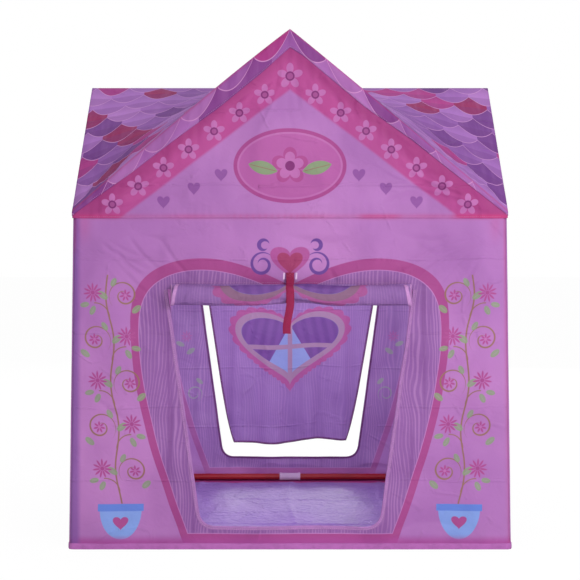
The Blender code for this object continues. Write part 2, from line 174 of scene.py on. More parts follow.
def add_node(tree, kind, inputs=None, **settings):
    """Adds a shader node, with its settings and with its inputs, which are given by number or name."""
    node = tree.nodes.new("ShaderNode" + kind)
    for name, value in settings.items():
        setattr(node, name, value)
    for place, value in (inputs or {}).items():
        put(node.inputs[place], value)
    return node


def math_node(operation, *values, clamp=False):
    tree = next(value for value in values if isinstance(value, Number)).socket.id_data
    inputs = dict(enumerate(values))
    return Number(add_node(tree, "Math", inputs, operation=operation, use_clamp=clamp).outputs[0])


absolute = partial(math_node, "ABSOLUTE")
root = partial(math_node, "SQRT")
sine = partial(math_node, "SINE")
cosine = partial(math_node, "COSINE")
below = partial(math_node, "FLOOR")
least = partial(math_node, "MINIMUM")
most = partial(math_node, "MAXIMUM")
rounded_most = partial(math_node, "SMOOTH_MAX")
remainder = partial(math_node, "FLOORED_MODULO")
bearing = partial(math_node, "ARCTAN2")


def distance(x, z):
    return root(x * x + z * z)


def inside(gap, softness=0.0009):
    """1 where a signed distance is negative and 0 where it is positive, with a narrow soft edge."""
    return math_node("MULTIPLY_ADD", gap, -1 / softness, 0.5, clamp=True)


def ramped(value, low, high, start=0.0, end=1.0):
    """A smooth step of a number from start at low to end at high."""
    inputs = dict(enumerate((value, low, high, start, end)))
    node = add_node(value.socket.id_data, "MapRange", inputs, interpolation_type="SMOOTHSTEP")
    return Number(node.outputs[0])


def turned(x, z, degrees):
    """Coordinates in axes turned by an angle."""
    c, s = math.cos(math.radians(degrees)), math.sin(math.radians(degrees))
    return x * c + z * s, z * c - x * s


def in_repeat(value, pitch):
    """The place within one repeat, from minus half a pitch to half a pitch, and the repeat's count."""
    count = below(value / pitch + 0.5)
    return value - count * pitch, count


# Shapes, as signed distances


def circle(x, z, radius):
    return distance(x, z) - radius


def oval(x, z, half_width, half_height):
    return (distance(x / half_width, z / half_height) - 1) * min(half_width, half_height)


def ring(x, z, radius, half_thickness):
    return absolute(distance(x, z) - radius) - half_thickness


def heart(x, z, half_width, height_share=1.0):
    """A heart about its middle. A height share of 1 makes it as tall as it is wide."""
    across = absolute(x / half_width)
    up = z * (1.25 / (half_width * height_share)) - root(across + 0.002) + 0.30
    return (distance(across, up) - 1) * (half_width * 0.75 * height_share)


def petals(x, z, count, reach, slimness=0.36):
    """A flower's round petals, the first one straight up."""
    angle = bearing(x, z) + math.pi / count
    from_middle = remainder(angle, 2 * math.pi / count) - math.pi / count
    far = distance(x, z)
    along = far * cosine(from_middle)
    across = far * sine(from_middle)
    stretched = (along / reach - 0.60) * (slimness / 0.40)
    return (distance(stretched, across / reach) - slimness) * reach


def scroll(x, z, radius, tightening, half_thickness, start, turns):
    """A scroll that runs clockwise from an angle in degrees, and is thickest half way."""
    angle = bearing(z, x)
    turn = remainder(math.radians(start) - angle, 2 * math.pi) / (2 * math.pi)
    far = distance(x, z)
    drawn = None
    for lap in range(math.ceil(turns)):
        passed = turn + lap
        swing = passed * (2 / turns) - 1
        thickness = (1 - swing * swing) * half_thickness
        off = absolute(far - (1 - passed * tightening) * radius) - thickness
        drawn = off if drawn is None else least(drawn, off)
    return drawn


def arc(x, z, radius, half_thickness, towards, half_spread):
    """A stretch of a circle: half a spread to each side of a direction, in degrees from straight up."""
    ax, az = turned(x, z, -towards)
    angle = absolute(bearing(ax, az))
    return most(ring(ax, az, radius, half_thickness), (angle - math.radians(half_spread)) * radius)


# Materials


def new_material(name, roughness=0.6, specular=0.3, sheen=0.0):
    material = bpy.data.materials.new(name)
    material.use_nodes = True
    shader = material.node_tree.nodes["Principled BSDF"]
    put(shader.inputs["Roughness"], roughness)
    put(shader.inputs["Specular IOR Level"], specular)
    put(shader.inputs["Sheen Weight"], sheen)
    return material, material.node_tree, shader


def attribute(tree, name):
    return add_node(tree, "Attribute", attribute_name=name)


def both_axes(tree, vector):
    split = add_node(tree, "SeparateXYZ", {0: vector})
    return Number(split.outputs[0]), Number(split.outputs[1])


def flat_coordinates(tree):
    """Where a point lies on its flat cloth, in metres: across, up, and the vector of both."""
    vector = attribute(tree, "flat").outputs["Vector"]
    return *both_axes(tree, vector), vector


def colour(tree, rgb):
    node = add_node(tree, "RGB")
    node.outputs[0].default_value = (*rgb, 1.0)
    return node.outputs[0]


def darker(rgb, share):
    return tuple(share * value for value in rgb)


def over(base, mask, rgb, blend="MIX"):
    """A colour painted over another where the mask is 1. rgb is three numbers or another colour."""
    inputs = {"Factor": mask, "A": base, "B": rgb}
    return add_node(base.id_data, "Mix", inputs, data_type="RGBA", blend_type=blend).outputs["Result"]


def layered(base, *layers):
    """Paints shapes over one another, each given as a signed distance and a colour."""
    for gap, rgb in layers:
        base = over(base, inside(gap), rgb)
    return base


def noise(tree, vector, scale, detail=2.0, roughness=0.5, distortion=0.0, stretch=None):
    """A noise from 0 to 1 on a vector. stretch scales the vector's axes."""
    if stretch is not None:
        vector = add_node(tree, "Mapping", {"Scale": stretch, "Vector": vector}).outputs["Vector"]
    inputs = {
        "Vector": vector, "Scale": scale, "Detail": detail, "Roughness": roughness, "Distortion": distortion,
    }
    return Number(add_node(tree, "TexNoise", inputs).outputs[0])


def bump(tree, height, strength, reach, below_it=None):
    inputs = {"Strength": strength, "Distance": reach, "Height": height}
    if below_it is not None:
        inputs["Normal"] = below_it
    return add_node(tree, "Bump", inputs).outputs["Normal"]


def to_output(tree, share, first, second):
    """Shows a mix of two shaders."""
    both = add_node(tree, "MixShader", {0: share, 1: first.outputs[0], 2: second.outputs[0]})
    put(tree.nodes["Material Output"].inputs["Surface"], both.outputs[0])


WEAVE = 0.0007  # between neighbouring threads
FOLD_HEIGHT = 0.158  # between the creases of the folded cover
LIGHT_THROUGH_SHARE = 0.45
INNER_THROUGH_SHARE = 0.28


def finish_cloth(
    material, tree, shader, print_colour, vector, through=LIGHT_THROUGH_SHARE, crumple=26.0, depth=0.005
):
    """Gives a printed cloth its weave, creases, painted shade in blotches and along soft folds, and the light
    that shines through it.
    """
    across, up = both_axes(tree, vector)
    threads = sine(across * (2 * math.pi / WEAVE)) * sine(up * (2 * math.pi / WEAVE))
    crumples = noise(tree, vector, crumple, 3.0, 0.55, 0.5)
    wander = noise(tree, vector, 4.5, 1.0, 0.40, 0.2)
    creases = ramped(absolute(wander - 0.5), 0.016, 0.0) * ramped(crumples, 0.42, 0.62)
    sway = noise(tree, vector, 6.0, 2.0, 0.5) * 0.016
    fold_up, _ = in_repeat(up + sway + 0.003, FOLD_HEIGHT)
    folds = ramped(absolute(fold_up), 0.0040, 0.0) * ramped(crumples, 0.35, 0.55)
    normal = bump(tree, crumples, 0.50, depth)
    for height, strength, reach in ((creases, 0.55, 0.0020), (folds, 0.55, 0.0020), (threads, 0.10, 0.0002)):
        normal = bump(tree, height, strength, reach, normal)
    # Painted shade: the print is dimmed in soft blotches and in long soft streaks where folds would fall into
    # shade.
    blotch_shade_noise = noise(tree, vector, 5.0, 3.0, 0.55)
    painted_shade_colour = colour(tree, (0.80, 0.73, 0.83))
    fold_shade_noise = noise(tree, vector, 1.0, 2.0, 0.5, 0.6, (9.0, 3.5, 1.0))
    shaded = over(print_colour, ramped(blotch_shade_noise, 0.35, 0.75, 0.0, 0.45), painted_shade_colour, "MULTIPLY")
    shaded = over(shaded, ramped(fold_shade_noise, 0.50, 0.68, 0.0, 0.40), painted_shade_colour, "MULTIPLY")
    put(shader.inputs["Base Color"], shaded)
    put(shader.inputs["Normal"], normal)
    behind = add_node(tree, "BsdfTranslucent", {"Color": shaded, "Normal": normal})
    to_output(tree, through, shader, behind)
    return material


def finish_cover(material, tree, shader, print_colour, vector, inner_face):
    """Finishes a cloth of the cover: red painted show-through where the tubes lie behind it, paler and bluer
    on its inner face.
    """
    tube_show_through = Number(attribute(tree, "tube").outputs["Fac"])
    print_colour = over(print_colour, tube_show_through, TUBE_THROUGH_CLOTH)
    through = LIGHT_THROUGH_SHARE
    if inner_face:
        print_colour = over(print_colour, 0.38, colour(tree, INNER_TINT))
        through = INNER_THROUGH_SHARE
    return finish_cloth(material, tree, shader, print_colour, vector, through)


# Colours of the print

LILAC = (0.430, 0.175, 0.470)
LILAC_LIGHT = (0.520, 0.225, 0.530)
# the colour of the painted shade at the front wall's left edge
LILAC_PAINTED_SHADE = (0.240, 0.095, 0.370)
VERGE_PINK = (0.480, 0.075, 0.300)
# a deep pink: painted shade at the top of the verge, and the real colour of the floor's seam allowance
VERGE_SHADE_AND_SEAM_PINK = (0.330, 0.030, 0.180)
BAND_PINK = (0.400, 0.070, 0.275)
HEM_PINK = (0.420, 0.075, 0.340)
WOOD_DARK = (0.250, 0.090, 0.310)
WOOD = (0.300, 0.120, 0.370)
WOOD_LIGHT = (0.410, 0.190, 0.460)
PETAL = (0.520, 0.165, 0.440)
PETAL_HEART = (0.230, 0.030, 0.180)
PETAL_EYE = (0.380, 0.080, 0.290)
SMALL_HEART = (0.270, 0.080, 0.330)
ORNAMENT = (0.366, 0.045, 0.150)
ORNAMENT_RIM = (0.430, 0.090, 0.320)
SCROLL = (0.165, 0.060, 0.315)
FRAME_MAUVE = (0.360, 0.215, 0.370)
FRINGE = (0.400, 0.095, 0.310)
CURTAIN = (0.165, 0.062, 0.290)
CURTAIN_FOLD = (0.225, 0.090, 0.360)
PANE = (0.260, 0.310, 0.620)
PLAQUE = (0.470, 0.120, 0.380)
LEAF = (0.265, 0.350, 0.200)
LEAF_VEIN = (0.340, 0.340, 0.300)
STEM = (0.320, 0.165, 0.130)
BLOSSOM = (0.430, 0.080, 0.290)
BOWL = (0.250, 0.390, 0.760)
BOWL_SHADE = (0.140, 0.250, 0.680)
# painted show-through: the red of the tubes seen through the cloth
TUBE_THROUGH_CLOTH = (0.540, 0.040, 0.200)
INNER_TINT = (0.260, 0.190, 0.450)
SHINGLE_STREAK = (0.520, 0.260, 0.560)
SHINGLE_SHADE = (0.150, 0.030, 0.200)
SHINGLE_LINE = (0.600, 0.300, 0.590)
SHINGLES = (  # where each colour's range of the random numbers starts, and the colour
    (0.0, (0.400, 0.170, 0.510)),
    (0.30, (0.300, 0.110, 0.410)),
    (0.46, (0.190, 0.050, 0.280)),
    (0.60, (0.450, 0.200, 0.540)),
    (0.76, (0.440, 0.040, 0.260)),
    (0.88, (0.310, 0.018, 0.120)),
    (0.94, (0.370, 0.145, 0.480)),
)

PRINT_STRENGTH = 0.85  # how much of the ground a small motif covers

# The printed door

BAND_SIDE = 0.018
BAND_TOP = 0.026
BAND_FOOT = 0.021
BAND_CORNER = 0.126


def door_outline(across, up, band_shares=0.0):
    """The printed door frame's distance outside; band_shares of 1 gives the band's inner edge."""
    sides = across - (sine(least(up / 0.5, 1) * (math.pi / 2)) * 0.119 + 0.225) + BAND_SIDE * band_shares
    top = up - (sine(across * (math.pi / 0.38)) * 0.058 + 0.565) + BAND_TOP * band_shares
    foot = 0.014 - up + BAND_FOOT * band_shares
    return most(rounded_most(sides, top, BAND_CORNER), foot)


GRAIN_PITCH = 0.0068


def wood_grain(tree, across, vector):
    """Fine upright lines that waver, on broader streaks."""
    sway = noise(tree, vector, 1.0, 2.0, 0.5, 0.0, (9.0, 4.0, 1.0))
    lines = sine((across + sway * 0.060) * (2 * math.pi / GRAIN_PITCH))
    streaks = noise(tree, vector, 1.0, 2.0, 0.60, 0.0, (75.0, 2.6, 1.0))
    broad = noise(tree, vector, 1.0, 2.0, 0.5, 0.0, (26.0, 1.8, 1.0))
    grain = streaks * 0.55 + broad * 0.45
    wood = over(colour(tree, WOOD), ramped(grain, 0.47, 0.34), WOOD_DARK)
    return over(wood, ramped(grain + lines * 0.16, 0.50, 0.70), WOOD_LIGHT)


def paint_door(tree, base, across, up, vector):
    """The wood-look door with its pink band and the pale line inside the band."""
    inner = door_outline(across, up, 1.0)
    return layered(
        base,
        (door_outline(across, up), BAND_PINK),
        (inner - 0.0016, LILAC_LIGHT),
        (inner, wood_grain(tree, across, vector)),
    )


ORNAMENT_HEIGHT = 0.622


def paint_ornament(base, x, across, up):
    """A heart between two pairs of scrolls, over the middle of the door."""
    up = up - ORNAMENT_HEIGHT
    return layered(
        base,
        (scroll(across - 0.0600, up + 0.0120, 0.0275, 0.48, 0.0036, 152.0, 1.40), SCROLL),
        (scroll(across - 0.0560, up - 0.0290, 0.0120, 0.25, 0.0044, 165.0, 0.84), SCROLL),
        (heart(x, up + 0.0095, 0.0425, 0.80), ORNAMENT_RIM),
        (heart(x, up + 0.0105, 0.0273, 0.85), ORNAMENT),
    )


STEM_PLACE = 0.360
LEVEL = 0.094  # from one branch of the plant to the next
FIRST_LEVEL = 0.118
LAST_LEVEL = 0.588
CURL_PLACE = (0.033, 0.050)
CURL_RADIUS = 0.034
BLOOM_PLACE = (-0.034, 0.056)
BOWL_TOP = 0.090


def paint_plant(base, across, up):
    """A plant trained flat on the wall: curling branches to either side in turn, with leaves and blossoms."""
    x = across - (up * 0.055 + STEM_PLACE)
    height = up - FIRST_LEVEL
    level = below(height / LEVEL)
    rise = height - level * LEVEL
    direction = remainder(level, 2.0) * 2 - 1
    side = x * direction
    grown = least(inside(FIRST_LEVEL - up), inside(up - LAST_LEVEL))
    stem = absolute(x - sine(height * (math.pi / LEVEL)) * 0.006) - 0.0017
    base = over(base, least(inside(stem), least(inside(0.098 - up), inside(up - LAST_LEVEL))), STEM)
    curl_x, curl_z = side - CURL_PLACE[0], rise - CURL_PLACE[1]
    curl = scroll(curl_x, curl_z, CURL_RADIUS, 0.56, 0.0019, 222.0, 1.45)
    twig = arc(side + 0.030, rise - 0.004, 0.030, 0.0012, 42.0, 46.0)
    base = over(base, least(inside(least(curl, twig)), grown), STEM)
    leaf_places = (
        (-0.012, 0.050, -38.0, 0.0120), (-0.036, 0.018, 62.0, 0.0105), (-0.053, 0.030, 12.0, 0.0100),
        (0.058, 0.020, 40.0, 0.0115), (0.012, 0.078, 60.0, 0.0100),
    )
    for leaf_side, leaf_rise, lean, size in leaf_places:
        lx, lz = turned(side - leaf_side, rise - leaf_rise, lean)
        leaf = oval(lx, lz, size, size * 0.56)
        base = over(base, least(inside(leaf), grown) * PRINT_STRENGTH, LEAF)
        base = over(base, least(inside(most(absolute(lz) - 0.0005, leaf + 0.002)), grown), LEAF_VEIN)
    bloom_x, bloom_z = side - BLOOM_PLACE[0], rise - BLOOM_PLACE[1]
    bud_x = curl_x - 0.003
    for shape, rgb in (
        (petals(bloom_x, bloom_z, 11, 0.0205, 0.105), BLOSSOM),
        (circle(bloom_x, bloom_z, 0.0042), BAND_PINK),
        (petals(bud_x, curl_z, 7, 0.0125, 0.17), BLOSSOM),
        (circle(bud_x, curl_z, 0.0028), PETAL),
    ):
        base = over(base, least(inside(shape), grown), rgb)
    return paint_bowl(base, across - STEM_PLACE - 0.004, up)


def paint_bowl(base, x, up):
    """The round bowl that the plant grows in, with a rim and a small heart."""
    up = up - BOWL_TOP
    return layered(
        base,
        (most(oval(x, up, 0.045, 0.068), up), BOWL),
        (heart(x, up + 0.034, 0.0165, 0.85), BLOSSOM),
        (most(absolute(x) - 0.049, absolute(up) - 0.0075), BOWL_SHADE),
    )


def lilac_ground(tree, vector):
    """The plain part of the print, a little uneven."""
    tone = noise(tree, vector, 2.2, 2.0, 0.5)
    return over(colour(tree, LILAC), ramped(tone, 0.35, 0.70), LILAC_LIGHT)


def paint_sprigs(base, across, up):
    """A curl and a blossom with leaves, on the wood beside the rear doorway."""
    curl = scroll(across - 0.262, up - 0.236, 0.0230, 0.50, 0.0017, 250.0, 1.30)
    base = over(base, inside(curl) * PRINT_STRENGTH, LEAF)
    leaf_places = ((0.248, 0.270, 40.0, 0.011), (0.272, 0.352, -35.0, 0.013), (0.300, 0.372, 25.0, 0.012))
    for leaf_across, leaf_up, lean, size in leaf_places:
        lx, lz = turned(across - leaf_across, up - leaf_up, lean)
        base = over(base, inside(oval(lx, lz, size, size * 0.5)) * PRINT_STRENGTH, LEAF)
    return layered(base, (petals(across - 0.283, up - 0.392, 9, 0.0150, 0.130), BLOSSOM))


def wall_material(name, door=False, plants=False, inner_face=False, sprigs=False, painted_edge_shade=False):
    material, tree, shader = new_material(name)
    x, up, vector = flat_coordinates(tree)
    across = absolute(x)
    base = lilac_ground(tree, vector)
    if door:
        base = paint_door(tree, base, across, up, vector)
        base = paint_ornament(base, x, across, up)
    if plants:
        base = paint_plant(base, across, up)
    if sprigs:
        base = paint_sprigs(base, across, up)
    base = over(base, ramped(up, 0.034, 0.014) * PRINT_STRENGTH, HEM_PINK)
    if painted_edge_shade:
        # Painted shade down the wall's left edge, where the cloth turns round the corner post away from the
        # key light.
        base = over(base, ramped(x, -0.447, -0.461) * 0.75, LILAC_PAINTED_SHADE)
    return finish_cover(material, tree, shader, base, vector, inner_face)


VERGE_SLOPE = (PEAK - CORNER) / EAVE_HALF
VERGE_STEP = 0.0669  # between the flowers along the verge
VERGE_LEAN = 35.9  # of the row of flowers, in degrees
VERGE_TOP = 1.0127
PLAQUE_HEIGHT = 0.821


def gable_material(name, plaque=False, inner_face=False):
    """The gable's print: a pink verge with flowers, small hearts, and a plaque with a blossom."""
    material, tree, shader = new_material(name)
    x, up, vector = flat_coordinates(tree)
    across = absolute(x)
    base = lilac_ground(tree, vector)
    for heart_across, heart_up in ((0.271, 0.742), (0.2055, 0.771), (0.1475, 0.800)):
        shape = heart(across - heart_across, up - heart_up, 0.0135)
        base = over(base, inside(shape) * PRINT_STRENGTH, SMALL_HEART)
    if plaque:
        base = paint_plaque(base, x, up - PLAQUE_HEIGHT)
    band = 0.984 - up - across * 0.759
    base = over(base, ramped(band, 0.004, -0.006), VERGE_PINK)
    # Painted shade: the verge darkens towards its top, where the cloth turns in under the roof's edge.
    below_top = (PEAK - up - across * VERGE_SLOPE) * 0.75
    base = over(base, ramped(below_top, 0.060, 0.030) * 0.65, VERGE_SHADE_AND_SEAM_PINK)
    along, off = turned(across, up - VERGE_TOP, -VERGE_LEAN)
    in_step, _ = in_repeat(along, VERGE_STEP)
    fx, fz = turned(in_step, off, VERGE_LEAN)
    beside = least(inside(0.033 - across), inside(across - 0.405))
    top = up - VERGE_TOP - 0.001
    flower = least(petals(x, top, 5, 0.0280, 0.275), petals(fx, fz, 5, 0.0236, 0.280) + (1 - beside))
    eye = least(circle(x, top, 0.0100), circle(fx, fz, 0.0086) + (1 - beside))
    base = layered(base, (flower, PETAL), (eye, PETAL_HEART), (eye + 0.0034, PETAL_EYE))
    return finish_cover(material, tree, shader, base, vector, inner_face)


def paint_plaque(base, x, up):
    """An oval plaque with a double rim, and one blossom between two leaves."""
    leaf_x, leaf_z = turned(absolute(x) - 0.058, up + 0.004, 14.0)
    leaf = most(circle(leaf_x, leaf_z - 0.030, 0.044), circle(leaf_x, leaf_z + 0.030, 0.044))
    return layered(
        base,
        (oval(x, up, 0.121, 0.080), BAND_PINK),
        (oval(x, up, 0.113, 0.072), PETAL),
        (oval(x, up, 0.109, 0.068), PLAQUE),
        (leaf, LEAF),
        (most(absolute(leaf_z) - 0.0007, leaf + 0.003), STEM),
        (petals(x, up, 5, 0.040), BLOSSOM),
        (petals(x, up, 5, 0.030), PETAL),
        (circle(x, up, 0.0105), PETAL_HEART),
    )


SHINGLE_WIDTH = 0.078
SHINGLE_PITCH = 0.047
SHINGLE_ARC = 0.031


def roof_material(name, inner_face=False):
    """Round-ended shingles in rows, each one's colour drawn at random from a few."""
    material, tree, shader = new_material(name)
    x, down, vector = flat_coordinates(tree)
    row = below(down / SHINGLE_PITCH)
    in_row = down - row * SHINGLE_PITCH
    shift = remainder(row, 2.0) * (SHINGLE_WIDTH / 2)
    cell = below((x + shift) / SHINGLE_WIDTH)
    off = ((x + shift) / SHINGLE_WIDTH - cell - 0.5) * 2
    round_end = (1 - off * off) * SHINGLE_ARC
    from_edge = in_row - round_end
    own = inside(from_edge, 0.0006)
    next_shift = SHINGLE_WIDTH / 2 - shift
    next_cell = below((x + next_shift) / SHINGLE_WIDTH)
    chosen_row = row + 1 - own
    chosen_cell = next_cell + (cell - next_cell) * own
    place = [math_node("ROUND", chosen) + 0.5 for chosen in (chosen_cell, chosen_row)]
    joined = add_node(tree, "CombineXYZ", dict(enumerate(place)))
    drawn = add_node(tree, "TexWhiteNoise", {"Vector": joined.outputs[0]}, noise_dimensions="3D")
    ramp = add_node(tree, "ValToRGB", {0: drawn.outputs["Value"]})
    ramp.color_ramp.interpolation = "CONSTANT"
    while len(ramp.color_ramp.elements) < len(SHINGLES):
        ramp.color_ramp.elements.new(0.5)
    for element, (start, rgb) in zip(ramp.color_ramp.elements, SHINGLES):
        element.position = start
        element.color = (*rgb, 1.0)
    base = ramp.outputs["Color"]
    streak = noise(tree, vector, 1.0, 2.0, 0.5, 0.0, (60.0, 9.0, 1.0))
    base = over(base, ramped(streak, 0.40, 0.75, 0.0, 0.12), SHINGLE_STREAK)
    shade = ramped(in_row - round_end * own, 0.0, SHINGLE_PITCH, 0.25, 0.0)
    base = over(base, shade, SHINGLE_SHADE)
    base = layered(base, (absolute(from_edge) - 0.0011, SHINGLE_LINE))
    return finish_cover(material, tree, shader, base, vector, inner_face)


WINDOW_BAR_HEIGHT = 0.3627


def paint_window(tree, base, x, up, frame):
    """A heart-shaped window with a scalloped fringe, drawn curtains and cross bars."""
    across = absolute(x)
    scallops = (absolute(sine(bearing(x, up - 0.352) * 19.0)) - 1) * -0.0045
    opening = heart(x, up - 0.3605, 0.132, 0.605)
    edge = (0.406 - up) * 0.57 + 0.0095
    folds = ramped(sine(across * 230.0 + up * 50.0), -1.0, 1.0)
    bars = least(across, absolute(up - WINDOW_BAR_HEIGHT)) - 0.0062
    return layered(
        base,
        (heart(x, up - 0.352, 0.168, 0.70) + scallops, FRINGE),
        (heart(x, up - 0.357, 0.149, 0.66), frame),
        (opening, PANE),
        (most(opening, edge - across), over(colour(tree, CURTAIN), folds * 0.6, CURTAIN_FOLD)),
        (most(opening, bars), frame),
    )


def door_cloth_material(name, tint, share, frame=FRAME_MAUVE, through=LIGHT_THROUGH_SHARE, depth=0.005):
    """The door cloth's print: wood grain and a window."""
    material, tree, shader = new_material(name)
    x, up, vector = flat_coordinates(tree)
    base = wood_grain(tree, absolute(x), vector)
    base = over(base, share, tint)
    base = paint_window(tree, base, x, up, frame)
    return finish_cloth(material, tree, shader, base, vector, through, depth=depth)


FLOOR_SEAM = 0.040  # how far in the pink seam allowance reaches round the floor


def floor_cloth_material(name):
    material, tree, shader = new_material(name, 0.45, 0.4)
    x, y, vector = flat_coordinates(tree)
    tone = noise(tree, vector, 9.0, 4.0, 0.6, 0.6)
    base = over(colour(tree, (0.205, 0.112, 0.380)), ramped(tone, 0.40, 0.70), (0.262, 0.155, 0.440))
    # Darker streaks in the floor's colour.
    dark_streak_noise = noise(tree, vector, 1.0, 3.0, 0.6, 0.3, (24.0, 60.0, 1.0))
    base = over(base, ramped(dark_streak_noise, 0.62, 0.78, 0.0, 0.35), (0.120, 0.065, 0.230))
    # Painted highlights: paler streaks along the floor's crinkles.
    crinkle_highlight_noise = noise(tree, vector, 1.0, 4.0, 0.65, 0.8, (45.0, 120.0, 1.0))
    base = over(base, ramped(crinkle_highlight_noise, 0.45, 0.70, 0.0, 0.45), (0.340, 0.230, 0.520))
    to_edge = least(BASE_HALF - absolute(x), DEPTH / 2 - absolute(y - MIDDLE))
    base = layered(base, (to_edge - FLOOR_SEAM, VERGE_SHADE_AND_SEAM_PINK))
    return finish_cloth(material, tree, shader, base, vector, 0.05, 70.0, 0.007)


TAPE_RIB = 0.0011  # between the ribs of a woven tape


def tape_material(name, rgb):
    """A woven tape, ribbed across."""
    material, tree, shader = new_material(name, 0.65, 0.2)
    x, along, vector = flat_coordinates(tree)
    ribs = sine(along * (2 * math.pi / TAPE_RIB)) * sine(x * (2 * math.pi / (TAPE_RIB * 0.8)))
    tone = noise(tree, vector, 60.0, 3.0, 0.6)
    base = over(colour(tree, rgb), ramped(tone, 0.35, 0.75, 0.0, 0.6), darker(rgb, 0.72))
    put(shader.inputs["Base Color"], base)
    put(shader.inputs["Normal"], bump(tree, ribs, 0.5, 0.0003))
    return material


def plastic_material(name, rgb, roughness, mottle, specular):
    """Plastic with faint flow marks and scuffs."""
    material, tree, shader = new_material(name, roughness, specular)
    place = add_node(tree, "TexCoord").outputs["Object"]
    tone = noise(tree, place, 14.0, 4.0, 0.6)
    base = over(colour(tree, rgb), ramped(tone, 0.35, 0.70), darker(rgb, 1 - mottle))
    put(shader.inputs["Base Color"], base)
    scuffs = noise(tree, place, 90.0, 3.0, 0.6)
    put(shader.inputs["Normal"], bump(tree, scuffs, 0.15, 0.0005))
    gloss = ramped(scuffs, 0.3, 0.8, roughness - 0.06, roughness + 0.12)
    put(shader.inputs["Roughness"], gloss)
    return material


def thread_material(name, rgb):
    material, tree, shader = new_material(name, 0.6, 0.3, 0.3)
    place = add_node(tree, "TexCoord").outputs["Object"]
    tone = noise(tree, place, 700.0, 2.0, 0.5)
    put(shader.inputs["Base Color"], over(colour(tree, rgb), tone, darker(rgb, 0.7)))
    put(shader.inputs["Normal"], bump(tree, tone, 0.4, 0.0002))
    return material


# Cloth meshes


def together(*values):
    """Coordinates in arrays of one shape, put together point by point."""
    return np.stack(values, axis=-1)


def unit(vectors):
    return vectors / np.linalg.norm(vectors, axis=-1, keepdims=True)


def leftwards(line):
    """The direction to the left of a flat line, at each of its points."""
    along = unit(np.gradient(line, axis=0))
    return together(-along[:, 1], along[:, 0])


def travel(points):
    """How far along a line of points each one is."""
    return np.concatenate([[0], np.cumsum(np.linalg.norm(np.diff(points, axis=0), axis=1))])


def on_line(points, travelled, places):
    """The points at some distances along a line."""
    return together(*(np.interp(places, travelled, column) for column in points.T))


def even_points(points, count):
    """count + 1 points, evenly spaced along a line of points."""
    points = np.array(points)
    travelled = travel(points)
    return on_line(points, travelled, np.linspace(0, travelled[-1], count + 1))


SEAM_REACH = 0.018  # how far above and below a seam the cloth is kept flat, and past its ends
SEAM_END = 0.04


class Relief:
    """Slack and creases in a cloth: a height, outwards, at any point of the flat cloth."""

    def __init__(self, seed, swell=0.0036, longest=0.28, shortest=0.05, waves=14):
        draw = random.Random(seed)
        self.waves = []
        for _ in range(waves):
            length = math.exp(draw.uniform(math.log(shortest), math.log(longest)))
            angle = draw.uniform(0, math.pi)
            turn = 2 * math.pi / length
            height = swell * (length / longest) ** 1.7
            self.waves.append(
                (turn * math.cos(angle), turn * math.sin(angle), draw.uniform(0, 2 * math.pi), height)
            )
        self.creases = []
        self.seams = []
        self.draw = draw

    def crease(self, start, end, depth, width):
        self.creases.append((start, end, depth, width))

    def seam(self, height, half):
        """Keep the cloth flat along a level seam, where another cloth is sewn to it."""
        self.seams.append((height, half))

    def fan(self, corner, low, high, count, reach, depth, width):
        """Creases that spread from a corner, at angles from low to high in degrees."""
        draw = self.draw
        for i in range(count):
            angle = math.radians(mix(low, high, (i + draw.uniform(0.2, 0.8)) / count))
            far = reach * draw.uniform(0.55, 1.0)
            near = reach * draw.uniform(0.05, 0.25)
            start = (corner[0] + near * math.cos(angle), corner[1] + near * math.sin(angle))
            end = (corner[0] + far * math.cos(angle), corner[1] + far * math.sin(angle))
            self.crease(start, end, depth * draw.uniform(0.5, 1.0) * draw.choice((-1, 1)), width)

    def __call__(self, x, z):
        height = np.zeros_like(x)
        for kx, kz, phase, tall in self.waves:
            height += tall * np.sin(kx * x + kz * z + phase)
        for (ax, az), (bx, bz), depth, width in self.creases:
            dx, dz = bx - ax, bz - az
            length = math.hypot(dx, dz)
            along = ((x - ax) * dx + (z - az) * dz) / length**2
            off = ((x - ax) * dz - (z - az) * dx) / length
            bow = off + 0.06 * length * np.sin(math.pi * along) * (1 if depth > 0 else -1)
            ends = smooth(along, -0.02, 0.22) * (1 - smooth(along, 0.65, 1.02))
            height += depth * ends * np.exp(-((bow / width) ** 2))
        for seam_height, half in self.seams:
            near = np.exp(-(((z - seam_height) / SEAM_REACH) ** 2))
            height *= 1 - near * (1 - smooth(np.abs(x), half, half + SEAM_END))
        return height


def linked(name, data):
    """A new object in the scene, for a mesh, light or camera."""
    made = bpy.data.objects.new(name, data)
    bpy.context.scene.collection.objects.link(made)
    return made


def made_mesh(name, points, faces, flat=None, tube=None):
    mesh = bpy.data.meshes.new(name)
    mesh.from_pydata([tuple(p) for p in points], [], faces)
    if flat is not None:
        layer = mesh.attributes.new("flat", "FLOAT_VECTOR", "POINT")
        layer.data.foreach_set("vector", np.asarray(flat, np.float32).ravel())
    if tube is not None:
        layer = mesh.attributes.new("tube", "FLOAT", "POINT")
        layer.data.foreach_set("value", np.asarray(tube, np.float32).ravel())
    mesh.shade_smooth()
    return linked(name, mesh)


def face_out(mesh):
    """Turns a closed mesh's faces outwards."""
    bm = bmesh.new()
    bm.from_mesh(mesh)
    bmesh.ops.recalc_face_normals(bm, faces=bm.faces)
    bm.to_mesh(mesh)
    bm.free()


def grid_faces(rows, columns, closed=False, flip=False):
    """Quads of a grid of rows by columns, its first row's points first."""
    faces = []
    for i in range(rows - 1):
        for j in range(columns - (0 if closed else 1)):
            k = (j + 1) % columns
            face = (i * columns + j, i * columns + k, (i + 1) * columns + k, (i + 1) * columns + j)
            faces.append(face[::-1] if flip else face)
    return faces


